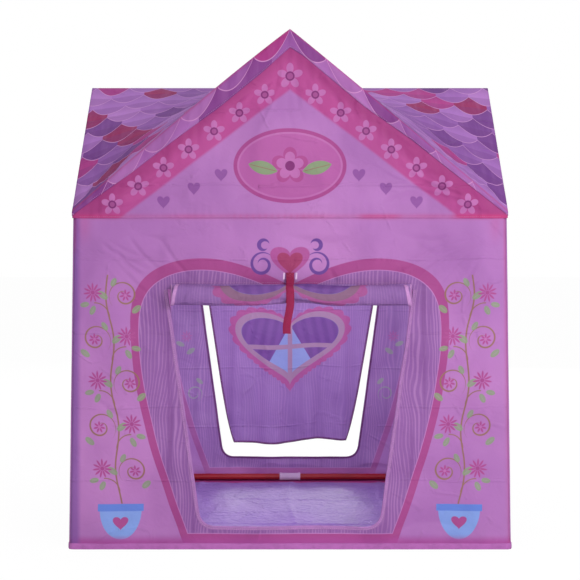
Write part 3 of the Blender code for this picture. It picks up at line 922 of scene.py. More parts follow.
def thickened(cloth, outer, inner, thickness=CLOTH):
    """Gives a cloth its thickness on its inner side, and a material on each face."""
    cloth.data.materials.append(outer)
    cloth.data.materials.append(inner)
    solidify = cloth.modifiers.new("Thickness", "SOLIDIFY")
    solidify.thickness = thickness
    solidify.offset = -1
    solidify.material_offset = 1
    return cloth


def flat_points(across, up):
    return together(across, up, np.zeros_like(across)).reshape(-1, 3)


def cloth_piece(name, places, flat, outer, inner, tube=None, flip=False, closed=False, thickness=CLOTH):
    """A cloth from a grid of places, with its flat coordinates and a finish for each face."""
    faces = grid_faces(*places.shape[:2], closed, flip)
    return thickened(made_mesh(name, places.reshape(-1, 3), faces, flat, tube), outer, inner, thickness)


def wall_half(z):
    return mix(BASE_HALF, EAVE_HALF, z / EAVE)


CORNER_STEPS = 12


def doorway_corner(half_top, half_foot, sill):
    """The right side of a doorway, from its top down to the middle of its rounded lower corner, and on."""
    lean = (half_top - half_foot) / (DOOR_TOP - sill)
    begins = np.array((half_foot + lean * DOOR_CORNER, sill + DOOR_CORNER))
    corner = np.array((half_foot, sill))
    ends = np.array((half_foot - DOOR_CORNER, sill))
    shares = np.linspace(0, 1, CORNER_STEPS + 1)
    curve = [(1 - t) ** 2 * begins + 2 * t * (1 - t) * corner + t**2 * ends for t in shares]
    half = CORNER_STEPS // 2
    return [(half_top, DOOR_TOP), *curve[: half + 1]], curve[half:]


def mirrored(points):
    return [(-x, z) for x, z in points[::-1]]


def wall_patches(half_top, half_foot, sill):
    """Pairs of lines round the wall from its top left: one on the doorway and one on the wall's edge."""
    side, foot = doorway_corner(half_top, half_foot, sill)
    across = round(2 * BASE_HALF / CELL)
    up = round(EAVE / CELL)
    top_left, top_right = (-EAVE_HALF, EAVE), (EAVE_HALF, EAVE)
    foot_left, foot_right = (-BASE_HALF, 0.0), (BASE_HALF, 0.0)
    return [
        (even_points([(-half_top, DOOR_TOP), (half_top, DOOR_TOP)], across), (top_left, top_right)),
        (even_points(side, up), (top_right, foot_right)),
        (even_points(foot + mirrored(foot), across), (foot_right, foot_left)),
        (even_points(mirrored(side), up), (foot_left, top_left)),
    ]


CORNER_ROUNDING = 0.013


def round_corner(across, half):
    """Bends the outer end of a flat wall round a corner post. Gives the place across and the step back."""
    turn_starts = half - CORNER_ROUNDING
    reach = turn_starts + CORNER_ROUNDING * math.pi / 4
    along = np.abs(across) * reach / half
    turn = np.clip((along - turn_starts) / CORNER_ROUNDING, 0, math.pi / 4)
    place = np.where(along < turn_starts, along, turn_starts + CORNER_ROUNDING * np.sin(turn))
    return np.sign(across) * place, CORNER_ROUNDING * (1 - np.cos(turn))


def clear_of_frame(lift, *distances):
    """Lets a cloth sink inwards only where it is clear of the tubes, given its distances from their edges."""
    room = 0.0004 + 0.02 * smooth(np.minimum.reduce(distances), 0.030, 0.090)
    return np.maximum(lift, -room)


def end_wall_lift(x, z, relief):
    """How far an end wall's cloth stands out of its plane."""
    lift = held_down(x, z, wall_half(z)) * relief(x, z)
    lift = lift + eave_gathers(x) * np.exp(-(EAVE - z) / 0.020) * np.clip((EAVE - z) / 0.009, 0, 1)
    return clear_of_frame(lift, wall_half(z) - np.abs(x), EAVE - z, z)


def end_wall(name, outward, door_sizes, relief, outer, inner):
    """The front or rear wall: rings of points from its doorway out to its edges."""
    rings = round(0.20 / CELL)
    inner_line, outer_line = [], []
    for near, edge in wall_patches(*door_sizes):
        inner_line.append(near[:-1])
        outer_line.append(even_points(edge, len(near) - 1)[:-1])
    near, far = np.concatenate(inner_line), np.concatenate(outer_line)
    shares = np.linspace(0, 1, rings + 1)[:, None, None]
    flat = near * (1 - shares) + far * shares
    x, z = flat[..., 0], flat[..., 1]
    place, back = round_corner(x, wall_half(z))
    y = END_PLANES[outward] + outward * (end_wall_lift(x, z, relief) - back)
    places = together(place, y, z)
    return cloth_piece(name, places, flat_points(x, z), outer, inner, wall_tubes(x, z), outward > 0, True)


def held_down(x, z, half):
    """0 at the tubes round a wall's edge and 1 away from them."""
    return smooth(half - np.abs(x), 0.0, 0.07) * smooth(EAVE - z, 0.0, 0.05) * smooth(z, 0.0, 0.05)


def uneven_wave(x, length, sway, rate):
    """Waves along a line, packed closer in some places than in others."""
    return np.sin(x * 2 * math.pi / length + sway * np.sin(x * rate))


def eave_gathers(x):
    """Small irregular gathers along the eave seam."""
    fine = uneven_wave(x, 0.0151, 2.2, 23.0)
    uneven = 0.45 + 0.55 * np.sin(x * 17.0 + 1.0) * np.sin(x * 41.0)
    return 0.0012 * fine * np.clip(uneven, 0.15, 1)


def eave_tint(x, z):
    """Painted show-through of the red eave rail: faint all along, stronger where the cloth is pulled onto it.
    """
    strength = 0.30 + 0.10 * np.sin(x * 37.0) * np.sin(x * 11.0 + 1.0)
    for start, end, more in ((-0.47, -0.35, 0.35), (0.135, 0.250, 0.40), (0.335, 0.480, 0.60)):
        strength += more * smooth(x, start, start + 0.03) * (1 - smooth(x, end - 0.03, end))
    ticks = 0.15 * np.clip(np.sin(x * 2 * math.pi / 0.0135), 0, 1)
    strength += ticks * smooth(x, -0.16, -0.11) * (1 - smooth(x, 0.0, 0.1))
    return np.clip(np.exp(-(((z - EAVE - 0.0035) / 0.0052) ** 2)) * strength, 0, 1)


def wall_tubes(x, z):
    """Painted show-through: where the posts and the eave rail show red through an end wall."""
    near_post = wall_half(z) - np.abs(x)
    head = np.exp(-(((near_post - 0.024) / 0.013) ** 2)) * smooth(z, 0.640, 0.70) * 0.22
    edge = (1 - smooth(near_post, 0.002, 0.008)) * 0.40 * np.where(x > 0, 1.0, smooth(z, 0.62, 0.66))
    return np.clip(np.maximum(np.maximum(head, edge), eave_tint(x, z)), 0, 1)


def side_wall(name, side, relief, outer, inner):
    """A closed side wall."""
    columns, rows = round(DEPTH / SIDE_CELL), round(EAVE / SIDE_CELL)
    u, v = np.meshgrid(np.linspace(0, 1, columns + 1), np.linspace(0, 1, rows + 1))
    y = mix(FRONT, REAR, u)
    z = v * EAVE
    lift = smooth(u, 0, 0.1) * smooth(1 - u, 0, 0.1) * smooth(EAVE - z, 0, 0.05) * smooth(z, 0, 0.05)
    lift = lift * relief(y, z) - 0.002 * np.sin(math.pi * u) * np.sin(math.pi * v)
    lift += eave_gathers(y) * np.exp(-(EAVE - z) / 0.010) * np.clip((EAVE - z) / 0.02, 0, 1)
    lift = clear_of_frame(np.minimum(lift, 0.0025), u * DEPTH, (1 - u) * DEPTH, EAVE - z, z)
    place, back = round_corner(y - MIDDLE, DEPTH / 2)
    places = together(side * (wall_half(z) + lift - back), MIDDLE + place, z)
    return cloth_piece(name, places, flat_points(y - MIDDLE, z), outer, inner, eave_tint(y, z), side < 0)


def end_gable_lift(x, z, relief):
    """How far an end gable's cloth stands out of its plane, with puckers at its two seams."""
    below_verge = mix(PEAK, CORNER, np.abs(x) / EAVE_HALF) - z
    free = smooth(below_verge, 0.0, 0.05) * smooth(z - EAVE, 0.0, 0.05)
    lift = free * relief(x, z)
    lift += 1.7 * eave_gathers(x) * np.exp(-(z - EAVE) / 0.020) * np.clip((z - EAVE) / 0.008, 0, 1)
    puckers = 0.0010 * uneven_wave(x, 0.027, 2.0, 31.0)
    lift = lift + puckers * smooth(below_verge, 0.02, 0.05) * (1 - smooth(below_verge, 0.06, 0.11))
    return clear_of_frame(lift, below_verge * 0.75, z - EAVE)


def end_gable(name, outward, relief, outer, inner):
    """The front or rear gable, from the eave seam to the roof's edge."""
    columns, rows = round(2 * EAVE_HALF / CELL), round((PEAK - EAVE) / CELL)
    u, v = np.meshgrid(np.linspace(-1, 1, columns + 1), np.linspace(0, 1, rows + 1))
    top = mix(PEAK, CORNER, np.abs(u)) - VERGE_GAP
    x = u * EAVE_HALF
    z = mix(EAVE, top, v)
    places = together(x, END_PLANES[outward] + outward * end_gable_lift(x, z, relief), z)
    return cloth_piece(name, places, flat_points(x, z), outer, inner, eave_tint(x, z), outward > 0)


def side_gable(name, side, relief, outer, inner):
    """The gable under an end of the side-to-side ridge, which leans out a little."""
    columns, rows = round(DEPTH / SIDE_CELL), round((RIDGE - EAVE) / SIDE_CELL)
    u, v = np.meshgrid(np.linspace(-1, 1, columns + 1), np.linspace(0, 1, rows + 1))
    top = mix(RIDGE, CORNER, np.abs(u)) - VERGE_GAP
    z = mix(EAVE, top, v)
    y = MIDDLE + u * (DEPTH / 2 - GABLE_INSET)
    free = smooth(top - z, 0.0, 0.05) * smooth(z - EAVE, 0.0, 0.05)
    lift = clear_of_frame(free * relief(y, z), (top - z) * 0.75, z - EAVE)
    x = side * (mix(EAVE_HALF, RIDGE_HALF, (z - EAVE) / (RIDGE - EAVE)) + lift)
    stretched = EAVE + (z - EAVE) * (PEAK - EAVE) / (RIDGE - EAVE)
    wide = (y - MIDDLE) * EAVE_HALF / (DEPTH / 2)
    flat = flat_points(wide, stretched)
    return cloth_piece(name, together(x, y, z), flat, outer, inner, eave_tint(y, z), side < 0)


# Roof

# Verge folded down over the front rafters: how far from the middle, and how far down
LEFT_VERGE = ((0.0, 0.040), (0.06, 0.048), (0.15, 0.049), (0.34, 0.029), (0.46, 0.010))
RIGHT_VERGE = ((0.0, 0.040), (0.03, 0.035), (0.16, 0.036), (0.26, 0.022), (0.34, 0.018), (0.46, 0.009))
FOLD_ROUNDING = 0.0035
LEFT_BOW = 0.0075  # the left rafter bends upwards
RIGHT_BOW = 0.0025


def rafter_bow(x):
    share = np.clip(np.abs(x) / EAVE_HALF, 0, 1)
    return np.where(x < 0, LEFT_BOW, RIGHT_BOW) * np.sin(math.pi * share**0.8)


def verge_drop(x):
    left, right = np.array(LEFT_VERGE), np.array(RIGHT_VERGE)
    across = np.abs(x)
    return np.where(x < 0, np.interp(across, *left.T), np.interp(across, *right.T))


def roof_height(u, v):
    """The roof's outer face. u runs from the middle to a side, v from the ridge to an end."""
    over_door = mix(PEAK, CORNER, u)
    over_side = mix(RIDGE, CORNER, v)
    above_ridge = mix(PEAK, RIDGE, u) - np.maximum(over_door, RIDGE)
    spanned = mix(PEAK, over_side, u) - (1 - v) * above_ridge
    return mix(np.maximum(over_door, over_side), spanned, TAUT_SHARE)


def roof_cloth():
    """The cover over both ridges: grids of its x, y, z, the way down its slopes, and the rafters' painted
    show-through.
    """
    half_columns = round(RIDGE_HALF / CELL)
    half_rows = round(DEPTH / 2 / CELL)
    u, v = np.meshgrid(np.linspace(-1, 1, 2 * half_columns + 1), np.linspace(-1, 1, 2 * half_rows + 1))
    u_far, v_far = np.abs(u), np.abs(v)
    rumple = Relief(71, 0.0016, 0.22, 0.05, 10)
    x = u * mix(RIDGE_HALF, EAVE_HALF, v_far)
    y = MIDDLE + v * DEPTH / 2
    z = roof_height(u_far, v_far)
    edge = smooth(1 - u_far, 0, 0.10) * smooth(1 - v_far, 0, 0.10)
    ridge = smooth(v_far, 0, 0.06) * smooth(u_far, 0, 0.04)
    z = z + edge * ridge * rumple(x, v * 0.45)
    puckers = 0.0012 * uneven_wave(x, 0.026, 2.0, 31.0)
    z = z + puckers * smooth(v_far, 0.80, 0.90) * (1 - smooth(v_far, 0.93, 0.99))
    z = z + rafter_bow(x) * smooth(v_far, 0.35, 1.0) * smooth(1 - u_far, 0, 0.05)
    tint = 0.5 * (1 - smooth((1 - v_far) * 0.45, 0.003, 0.012))
    return x, y, z, v_far * math.hypot(DEPTH / 2, RIDGE - CORNER), tint


VERGE_PRINT_START = 0.4681  # how far down the slopes the print of the folded-down edges starts
SIDE_FOLD = 0.012
# painted show-through of the rafters on the folded-down edges
EDGE_TINT = 0.15


def build_roof(outer, inner, end_reliefs):
    """The roof's one cover, with its edges folded down over the rafters."""
    x, y, z, down, tint = roof_cloth()
    rows, columns = x.shape
    numbers = np.arange(x.size).reshape(x.shape)
    points = [together(x, y, z).reshape(-1, 3)]
    flat = [flat_points(x, down)]
    tints = [tint.ravel()]
    faces = grid_faces(rows, columns)

    def add_line(before, line, line_flat, flip):
        """Joins a new line of points to the one before it, and gives the new points' numbers."""
        first = sum(map(len, points))
        new = np.arange(first, first + len(line))
        for face in zip(before[:-1], before[1:], new[1:], new[:-1]):
            faces.append(tuple(int(i) for i in (face[::-1] if flip else face)))
        points.append(line)
        flat.append(line_flat)
        tints.append(np.full(len(line), EDGE_TINT))
        return new

    drops = np.linspace(0, 1, 7)[1:]
    for row, outward in ((0, -1), (rows - 1, 1)):
        across, before = x[row], numbers[row]
        reach = verge_drop(across * -outward)
        wave = 0.0014 * uneven_wave(across, 0.031, 1.7, 27.0)
        wave += 0.0008 * uneven_wave(across, 0.0134, 2.3, 19.0)
        for share in drops:
            rounded = FOLD_ROUNDING * (1 - (1 - min(share * 1.6, 1)) ** 2)
            height = z[row] - share * reach
            stand = PROUD + rounded * (1 - share) + wave * (1 - share) * smooth(share, 0, 0.3)
            stand = stand + end_gable_lift(across, height, end_reliefs[outward])
            line = together(across, y[row] + outward * stand, height)
            line_flat = flat_points(across, VERGE_PRINT_START + share * reach)
            before = add_line(before, line, line_flat, outward < 0)
    for column, side in ((0, -1), (columns - 1, 1)):
        across, along, before = x[:, column], y[:, column], numbers[:, column]
        for share in drops[::2]:
            line = together(across + side * PROUD, along, z[:, column] - share * SIDE_FOLD)
            line_down = VERGE_PRINT_START * np.abs(along - MIDDLE) / (DEPTH / 2)
            line_flat = flat_points(across + side * share * SIDE_FOLD, line_down)
            before = add_line(before, line, line_flat, side > 0)
    roof = made_mesh("roof_cover", np.concatenate(points), faces, np.concatenate(flat), np.concatenate(tints))
    return thickened(roof, outer, inner)


# Door cloths

SEAM = DOOR_TOP + 0.023  # the seam that the rolled door cloth hangs from
ROLL_RADIUS = 0.0233
ROLL_PITCH = 0.0030
ROLL_TURNS = 6.2
ROLL_FLATTENING_SHARE = 0.75
ROLL_CENTRE_DROP = 0.0335
ROLL_HOLD = 0.01805  # above the roll's middle: the height that stays where the roll is drawn in
ROLL_PRINT_SHIFT = -0.051  # how far down the cloth its print is displaced
SEAM_TUCK = 0.0115  # how far the rolled cloth's top is tucked down behind the roll
ROLL_HALF = 0.2565
ROLL_SHIFT = 0.0025  # the roll lies a little to the right
ROLL_LEAN = 0.19  # how fast the door cloth narrows downwards, on each side
PINCH_SHARE = 0.16
PINCH_WIDTH = 0.060
BACK = FRONT - 0.0015  # the plane in which the rolled cloth hangs


def pinched(x):
    return 1 - PINCH_SHARE * np.exp(-((x / PINCH_WIDTH) ** 2))


def roll_centre(scale):
    """The height of the roll's middle, where it is drawn in to a share of its thickness."""
    return SEAM - ROLL_CENTRE_DROP + (1 - scale) * ROLL_HOLD


def layer_radius(angle):
    """The radius of the rolled cloth's layers, by the angle that it has turned through."""
    return ROLL_RADIUS - ROLL_PITCH * angle / (2 * math.pi)


def round_roll(scale, centre, radius, angle):
    """Places (y, z) on the roll seen from its end, from its back round under it and up its front."""
    y = BACK - ROLL_FLATTENING_SHARE * scale * (ROLL_RADIUS - radius * np.cos(angle))
    return y, centre - scale * radius * np.sin(angle)


ROLL_STEPS = 44  # in each turn
HANGING_ROWS = 8  # of the cloth between its seam and the roll


def rolled_points():
    """The front door cloth, rolled up from its foot and drawn in by the strap, and its flat coordinates."""
    angle = np.linspace(0, 2 * math.pi * ROLL_TURNS, round(ROLL_STEPS * ROLL_TURNS))
    y, z = round_roll(1.0, roll_centre(1.0), layer_radius(angle), angle)
    hanging = np.linspace(SEAM - SEAM_TUCK, z[0], HANGING_ROWS + 1)[:-1]
    path = together(np.concatenate([np.full(HANGING_ROWS, BACK), y]), np.concatenate([hanging, z]))
    travelled = travel(path)[:, None]
    a = np.concatenate([np.zeros(HANGING_ROWS), angle])[:, None]
    share = np.linspace(-1, 1, round(2 * ROLL_HALF / ROLL_CELL) + 1)
    x = share * (ROLL_HALF - ROLL_LEAN * np.maximum(travelled - 0.05, 0)) + ROLL_SHIFT
    print_height = np.broadcast_to(SEAM - travelled + ROLL_PRINT_SHIFT, x.shape)
    flat = together(x, print_height, np.zeros_like(x))
    scale = pinched(x)
    slump = 0.0010 * np.sin(x * 19.0 + 0.6) + 0.0006 * np.sin(x * 47.0)
    wrinkle = Relief(61, 0.0022, 0.16, 0.03, 12)(x, a * 0.022) * 0.55 * np.exp(-a / 14.0)
    gathers = np.sin(a * 5.0 + 2.0 * np.sin(x * 24.0))
    drawn = 0.0036 * np.exp(-np.abs(x) / 0.055) * gathers * smooth(np.abs(x), 0.004, 0.018)
    radius = layer_radius(a) + (wrinkle + drawn) * smooth(a, 0.0, 1.2)
    y, z = round_roll(scale, roll_centre(scale) + slump * np.clip(a, 0, 1), radius, a)
    fall = np.linspace(0, 1, HANGING_ROWS + 1)[:-1, None]
    z[:HANGING_ROWS] = mix(SEAM - SEAM_TUCK, z[HANGING_ROWS], fall)
    y[:HANGING_ROWS] = BACK
    return together(x, y, z), flat


FLAP_HALF_TOP = 0.236
FLAP_HALF_FOOT = 0.164
FLAP_CORNER_CUT = 0.012
FLAP_SHIFT = 0.004  # its top is sewn on a little to the right
FLAP_FOOT = REAR_SILL + 0.037
FLAP_FOLD_DEPTH = 0.012
FLAP_FOLD_WIDTH = 0.095
FLAP_HEM_WAVE = 0.003
FLAP_GAP = 0.0002  # between the doorway's top and the cloth
FLAP_TAPE_START = 0.012  # the share of its height at which the tape on its sides starts
FLAP_SIDE_POINTS = 76  # of the tape's line
FLAP_FOOT_POINTS = 54
FLAP_RUMPLE = Relief(62, 0.0016, 0.2, 0.04, 8)


def flap_half(down):
    """Half the hanging door cloth's width, which narrows fastest at its foot."""
    return mix(FLAP_HALF_TOP, FLAP_HALF_FOOT, down) - FLAP_CORNER_CUT * down**8


def flap_point(share, down):
    """The rear door cloth's outer face: share runs across it, down from its top to its foot."""
    top = DOOR_TOP - FLAP_GAP
    x = share * flap_half(down) + FLAP_SHIFT * (1 - down)
    turn = 2 * math.pi * x / FLAP_FOLD_WIDTH
    fold = FLAP_FOLD_DEPTH * down * (1 - np.cos(turn)) / 2
    small = 0.0010 * down * np.sin(x * 150.0 + 3.0 * down)
    hem = FLAP_HEM_WAVE * np.sin(turn / 2) + 0.0110 * smooth(x, -0.01, 0.08) + 0.0020
    z = mix(top, FLAP_FOOT, down) + down * hem
    rumple = FLAP_RUMPLE(x, z) * smooth(down, 0.0, 0.3)
    return x, REAR - fold - 0.0006 + small + rumple, z


def rear_flap(outer, inner):
    columns, rows = round(2 * FLAP_HALF_TOP / FLAP_CELL), round((DOOR_TOP - FLAP_FOOT) / FLAP_CELL)
    share, down = np.meshgrid(np.linspace(-1, 1, columns + 1), np.linspace(0, 1, rows + 1))
    places = together(*flap_point(share, down))
    flat = flat_points(places[..., 0], mix(DOOR_TOP, FLAP_FOOT, down))
    return cloth_piece("rear_door_cloth", places, flat, outer, inner)


FLOOR_TOP = 0.0009
FLOOR_CREASE = 0.006  # half the width of a crease where the floor was folded


def floor_cloth(outer, inner):
    """The sewn-in floor, creased where it was folded for its bag."""
    half = BASE_HALF - FLOOR_INSET
    columns, rows = round(2 * half / FLOOR_CELL), round(DEPTH / FLOOR_CELL)
    lengths = np.linspace(FRONT + FLOOR_INSET, REAR - FLOOR_INSET, rows + 1)
    x, y = np.meshgrid(np.linspace(-half, half, columns + 1), lengths)
    rumple = Relief(63, 0.0022, 0.35, 0.08, 8)
    lift = np.abs(rumple(x, y)) * 0.8
    for place in (-0.236, 0.004, 0.240):
        lift += 0.0026 * np.exp(-(((x - place + 0.01 * np.sin(y * 9.0)) / FLOOR_CREASE) ** 2))
    for place in (-0.12, 0.13):
        lift += 0.0022 * np.exp(-(((y - place + 0.008 * np.sin(x * 8.0)) / FLOOR_CREASE) ** 2))
    edge = smooth(half - np.abs(x), 0.004, 0.05) * smooth(DEPTH / 2 - np.abs(y - MIDDLE), 0.004, 0.05)
    z = FLOOR_TOP + lift * edge
    return cloth_piece("floor_cloth", together(x, y, z), flat_points(x, y), outer, inner)


# Tapes and stitching


def trim_piece(name, points, faces, finish, body, slot, flat=None):
    made = made_mesh(name, points, faces, flat)
    face_out(made.data)
    made.data.materials.append(finish)
    return settle(made, body, slot)


def swept(name, stations, finish, body, slot, closed=False):
    """A tape from its stations: each one is a closed ring of points, and the rings are joined in order."""
    stations = np.array(stations)
    count, around = stations.shape[:2]
    faces = []
    for i in range(count if closed else count - 1):
        j = (i + 1) % count
        for k in range(around):
            m = (k + 1) % around
            faces.append((i * around + k, i * around + m, j * around + m, j * around + k))
    if not closed:
        faces.append(tuple(range(around))[::-1])
        faces.append(tuple((count - 1) * around + k for k in range(around)))
    flat = np.zeros((count, around, 3))
    flat[..., 0] = np.linalg.norm(stations[0, 0] - stations[0], axis=1)
    flat[..., 1] = travel(stations[:, 0])[:, None]
    made = trim_piece(name, stations.reshape(-1, 3), faces, finish, body, slot, flat)
    made.data.set_sharp_from_angle(angle=math.radians(50))
    return made


TAPE_SECTION = (  # across the tape in shares of its width, and off the cloth in metres
    (1.0, 0.0), (0.96, 0.0012), (0.55, 0.0005), (0.10, 0.0015), (-0.14, 0.0004),
    (-0.14, -0.0010), (0.0, -0.0018), (1.0, -0.0016), (1.0, -0.0006),
)


def tape_rings(points, inwards, width, stand_off):
    """Stations of a puckered tape folded over an edge. stand_off lifts a numbered place off the cloth."""
    rings = []
    for i, (point, inward) in enumerate(zip(points, inwards)):
        pucker = 0.00025 * math.sin(i * 1.9) + 0.0002 * math.sin(i * 0.7)
        ring = []
        for share, off in TAPE_SECTION:
            ring.append(stand_off(i, point + inward * share * width, off + (pucker if off > 0 else 0)))
        rings.append(ring)
    return rings


FRONT_TAPE = 0.0070  # how wide the tapes are, from a cloth's edge inwards
REAR_TAPE = 0.0045
ROLL_TAPE = 0.0065


def binding(line, outward, width):
    """A tape on an end wall's edge, given as (x, z) points with the cloth on their left."""

    def stand_off(_, place, off):
        x, z = place
        return x, wall_depth(x, z, outward) + outward * off, z

    return tape_rings(line, leftwards(line), width, stand_off)


def edge_tape(points, inwards, outs, width, thin=1.0):
    """A tape on a cloth's edge, from the edge's points and its directions inwards and off the cloth."""

    def stand_off(i, place, off):
        return place + outs[i] * off * thin

    return tape_rings(points, inwards, width, stand_off)


THREAD_SIDES = 5


def facing(points, direction):
    """A run of points for stitches that lie on the side of one direction."""
    return points, np.tile(np.array(direction, float), (len(points), 1))


def stitches(name, runs, finish, body, slot, pitch=0.0042, length=0.0030, thick=0.00045):
    """Sewn stitches along runs of (points, normals), with the thread on the normals' side."""
    points, faces = [], []
    for line, normals in runs:
        travelled = travel(line)
        for place in np.arange(pitch / 2, travelled[-1], pitch):
            start = on_line(line, travelled, place - length / 2)
            end = on_line(line, travelled, place + length / 2)
            if np.linalg.norm(end - start) < 1e-6:
                continue
            normal = unit(on_line(normals, travelled, place))
            side = np.cross(unit(end - start), normal)
            middle = (start + end) / 2 + normal * thick * 0.6
            first = len(points)
            points.append(start)
            for turn in range(THREAD_SIDES):
                angle = 2 * math.pi * turn / THREAD_SIDES
                points.append(middle + thick * (math.cos(angle) * side + math.sin(angle) * normal))
            points.append(end)
            for turn in range(THREAD_SIDES):
                following = (turn + 1) % THREAD_SIDES
                faces.append((first, first + 1 + following, first + 1 + turn))
                faces.append((first + 1 + THREAD_SIDES, first + 1 + turn, first + 1 + following))
    return trim_piece(name, points, faces, finish, body, slot)


# Scene

WHITE = (1.0, 1.0, 1.0)


def add_camera():
    data = bpy.data.cameras.new("Camera")
    data.lens = LENS
    data.sensor_width = 36.0
    data.shift_y = VIEW_SHIFT
    camera = linked("Camera", data)
    camera.location = (0, FRONT - VIEW_DISTANCE, VIEW_HEIGHT)
    camera.rotation_euler = (math.radians(90), 0, 0)
    bpy.context.scene.camera = camera


def add_softbox(name, place, target, size, watts):
    data = bpy.data.lights.new(name, "AREA")
    data.shape = "RECTANGLE"
    data.size, data.size_y = size
    data.energy = watts
    made = linked(name, data)
    made.location = place
    made.rotation_euler = (Vector(target) - Vector(place)).to_track_quat("-Z", "Y").to_euler()


def background_mask(tree):
    """1 for rays that show the surroundings: from the camera, in gloss or through glass."""
    rays = add_node(tree, "LightPath").outputs
    camera, gloss, glass = (Number(rays[f"Is {kind} Ray"]) for kind in ("Camera", "Glossy", "Transmission"))
    return most(most(camera, gloss), glass)


def add_world():
    world = bpy.data.worlds.new("Studio")
    bpy.context.scene.world = world
    world.use_nodes = True
    tree = world.node_tree
    background = tree.nodes["Background"]
    put(background.inputs["Color"], WHITE)
    put(background.inputs["Strength"], background_mask(tree) * 0.40 + 0.60)


def add_floor():
    half, height = 14.0, -0.0004
    corners = [(x, y, height) for x, y in ((-half, -half), (half, -half), (half, half), (-half, half))]
    mesh = bpy.data.meshes.new("ground")
    mesh.from_pydata(corners, [], [(0, 1, 2, 3)])
    material, tree, shader = new_material("ground_white", 0.9, 0.1)
    put(shader.inputs["Base Color"], (0.86, 0.86, 0.87))
    glow = add_node(tree, "Emission", {"Color": WHITE, "Strength": 1.0})
    to_output(tree, background_mask(tree) * 0.97, shader, glow)
    mesh.materials.append(material)
    linked("ground", mesh)


def settle(piece, body, slot, *nodes):
    """Fixes a piece to its body and hides the solids that it stands for; its slot is not used."""
    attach(piece, body)
    if nodes:
        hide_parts(*nodes)
    return piece


bpy.context.scene.view_settings.view_transform = "Standard"
add_camera()
add_world()
add_floor()
add_softbox("key", (1.25, FRONT - 2.1, 1.25), (0.1, FRONT, 0.60), (1.2, 1.2), 58.0)
add_softbox("fill", (-1.6, FRONT - 2.8, 0.9), (0, FRONT, 0.5), (1.6, 1.6), 22.0)
add_softbox("top", (0, MIDDLE, 3.2), (0, MIDDLE, 0.5), (2.4, 2.4), 45.0)
add_softbox("back", (0.4, REAR + 2.6, 1.0), (0, REAR, 0.45), (2.2, 1.6), 55.0)
add_softbox("cabin_roof", (0, MIDDLE - 0.03, 0.700), (0, MIDDLE, 0.0), (0.60, 0.50), 0.4)
add_softbox("cabin_front", (0, FRONT + 0.065, 0.640), (0, REAR, 0.30), (0.70, 0.10), 5.5)

FRONT_DOOR = (FRONT_HALF_TOP, FRONT_HALF_FOOT, FRONT_SILL)
REAR_DOOR = (REAR_HALF_TOP, REAR_HALF_FOOT, REAR_SILL)

front_wall_print = wall_material("front_wall_print", door=True, plants=True, painted_edge_shade=True)
rear_wall_print = wall_material("rear_wall_print", door=True, plants=True, sprigs=True)
front_wall_back = wall_material("front_wall_back", door=True, inner_face=True)
rear_wall_back = wall_material("rear_wall_back", door=True, sprigs=True, inner_face=True)
plain_wall = wall_material("side_wall_print")
plain_wall_back = wall_material("side_wall_back", inner_face=True)
front_gable_print = gable_material("front_gable_print", plaque=True)
gable_print = gable_material("gable_print")
gable_back = gable_material("gable_back", inner_face=True)
roof_print = roof_material("roof_print")
roof_back = roof_material("roof_back", inner_face=True)

wall_reliefs = {-1: Relief(11), 1: Relief(12)}
for relief, count in zip(wall_reliefs.values(), (7, 6)):
    relief.fan((-0.44, 0.68), -62, -18, count, 0.32, 0.0018, 0.0045)
    relief.fan((0.44, 0.68), 198, 242, count, 0.30, 0.0018, 0.0045)
for start, end in (
    ((-0.292, 0.690), (-0.196, 0.566)),
    ((-0.375, 0.640), (-0.305, 0.575)),
    ((-0.350, 0.675), (-0.270, 0.590)),
    ((0.085, 0.602), (0.110, 0.566)),
    ((0.235, 0.700), (0.330, 0.620)),
    ((-0.425, 0.330), (-0.335, 0.270)),
    ((0.425, 0.300), (0.350, 0.215)),
):
    wall_reliefs[-1].crease(start, end, -0.0026, 0.0050)
wall_reliefs[1].seam(DOOR_TOP, REAR_HALF_TOP)

for end, outward, door, outer, inner in (
    ("front", -1, FRONT_DOOR, front_wall_print, front_wall_back),
    ("rear", 1, REAR_DOOR, rear_wall_print, rear_wall_back),
):
    cloth = end_wall(f"{end}_wall_cloth", outward, door, wall_reliefs[outward], outer, inner)
    settle(cloth, "cabin", "wall_cloth", f"{end}_wall")
for side_name, side in (("left", -1), ("right", 1)):
    cloth = side_wall(f"{side_name}_wall_cloth", side, Relief(20 + side), plain_wall, plain_wall_back)
    settle(cloth, "cabin", "wall_cloth", f"{side_name}_wall")
    gable = side_gable(f"{side_name}_gable_cloth", side, Relief(30 + side), gable_print, gable_back)
    settle(gable, "cabin", "wall_cloth", f"{side_name}_gable")
gable_reliefs = {-1: Relief(41), 1: Relief(42)}
for relief in gable_reliefs.values():
    relief.fan((0.0, 1.095), 228, 312, 9, 0.26, 0.0024, 0.0055)
    relief.fan((-0.45, 0.725), 4, 33, 6, 0.34, 0.0022, 0.0050)
    relief.fan((0.45, 0.725), 147, 176, 6, 0.34, 0.0022, 0.0050)
for end, outward, finish in (("front", -1, front_gable_print), ("rear", 1, gable_print)):
    gable = end_gable(f"{end}_gable_cloth", outward, gable_reliefs[outward], finish, gable_back)
    settle(gable, "cabin", "wall_cloth", f"{end}_gable")
roof = build_roof(roof_print, roof_back, gable_reliefs)
settle(roof, "cabin", "roof_cloth", "gable_roof", "left_wing_roof", "right_wing_roof")

door_print = door_cloth_material("door_cloth_print", (0.270, 0.150, 0.460), 0.45)
door_back = door_cloth_material("door_cloth_back", (0.300, 0.185, 0.480), 0.60, through=INNER_THROUGH_SHARE)
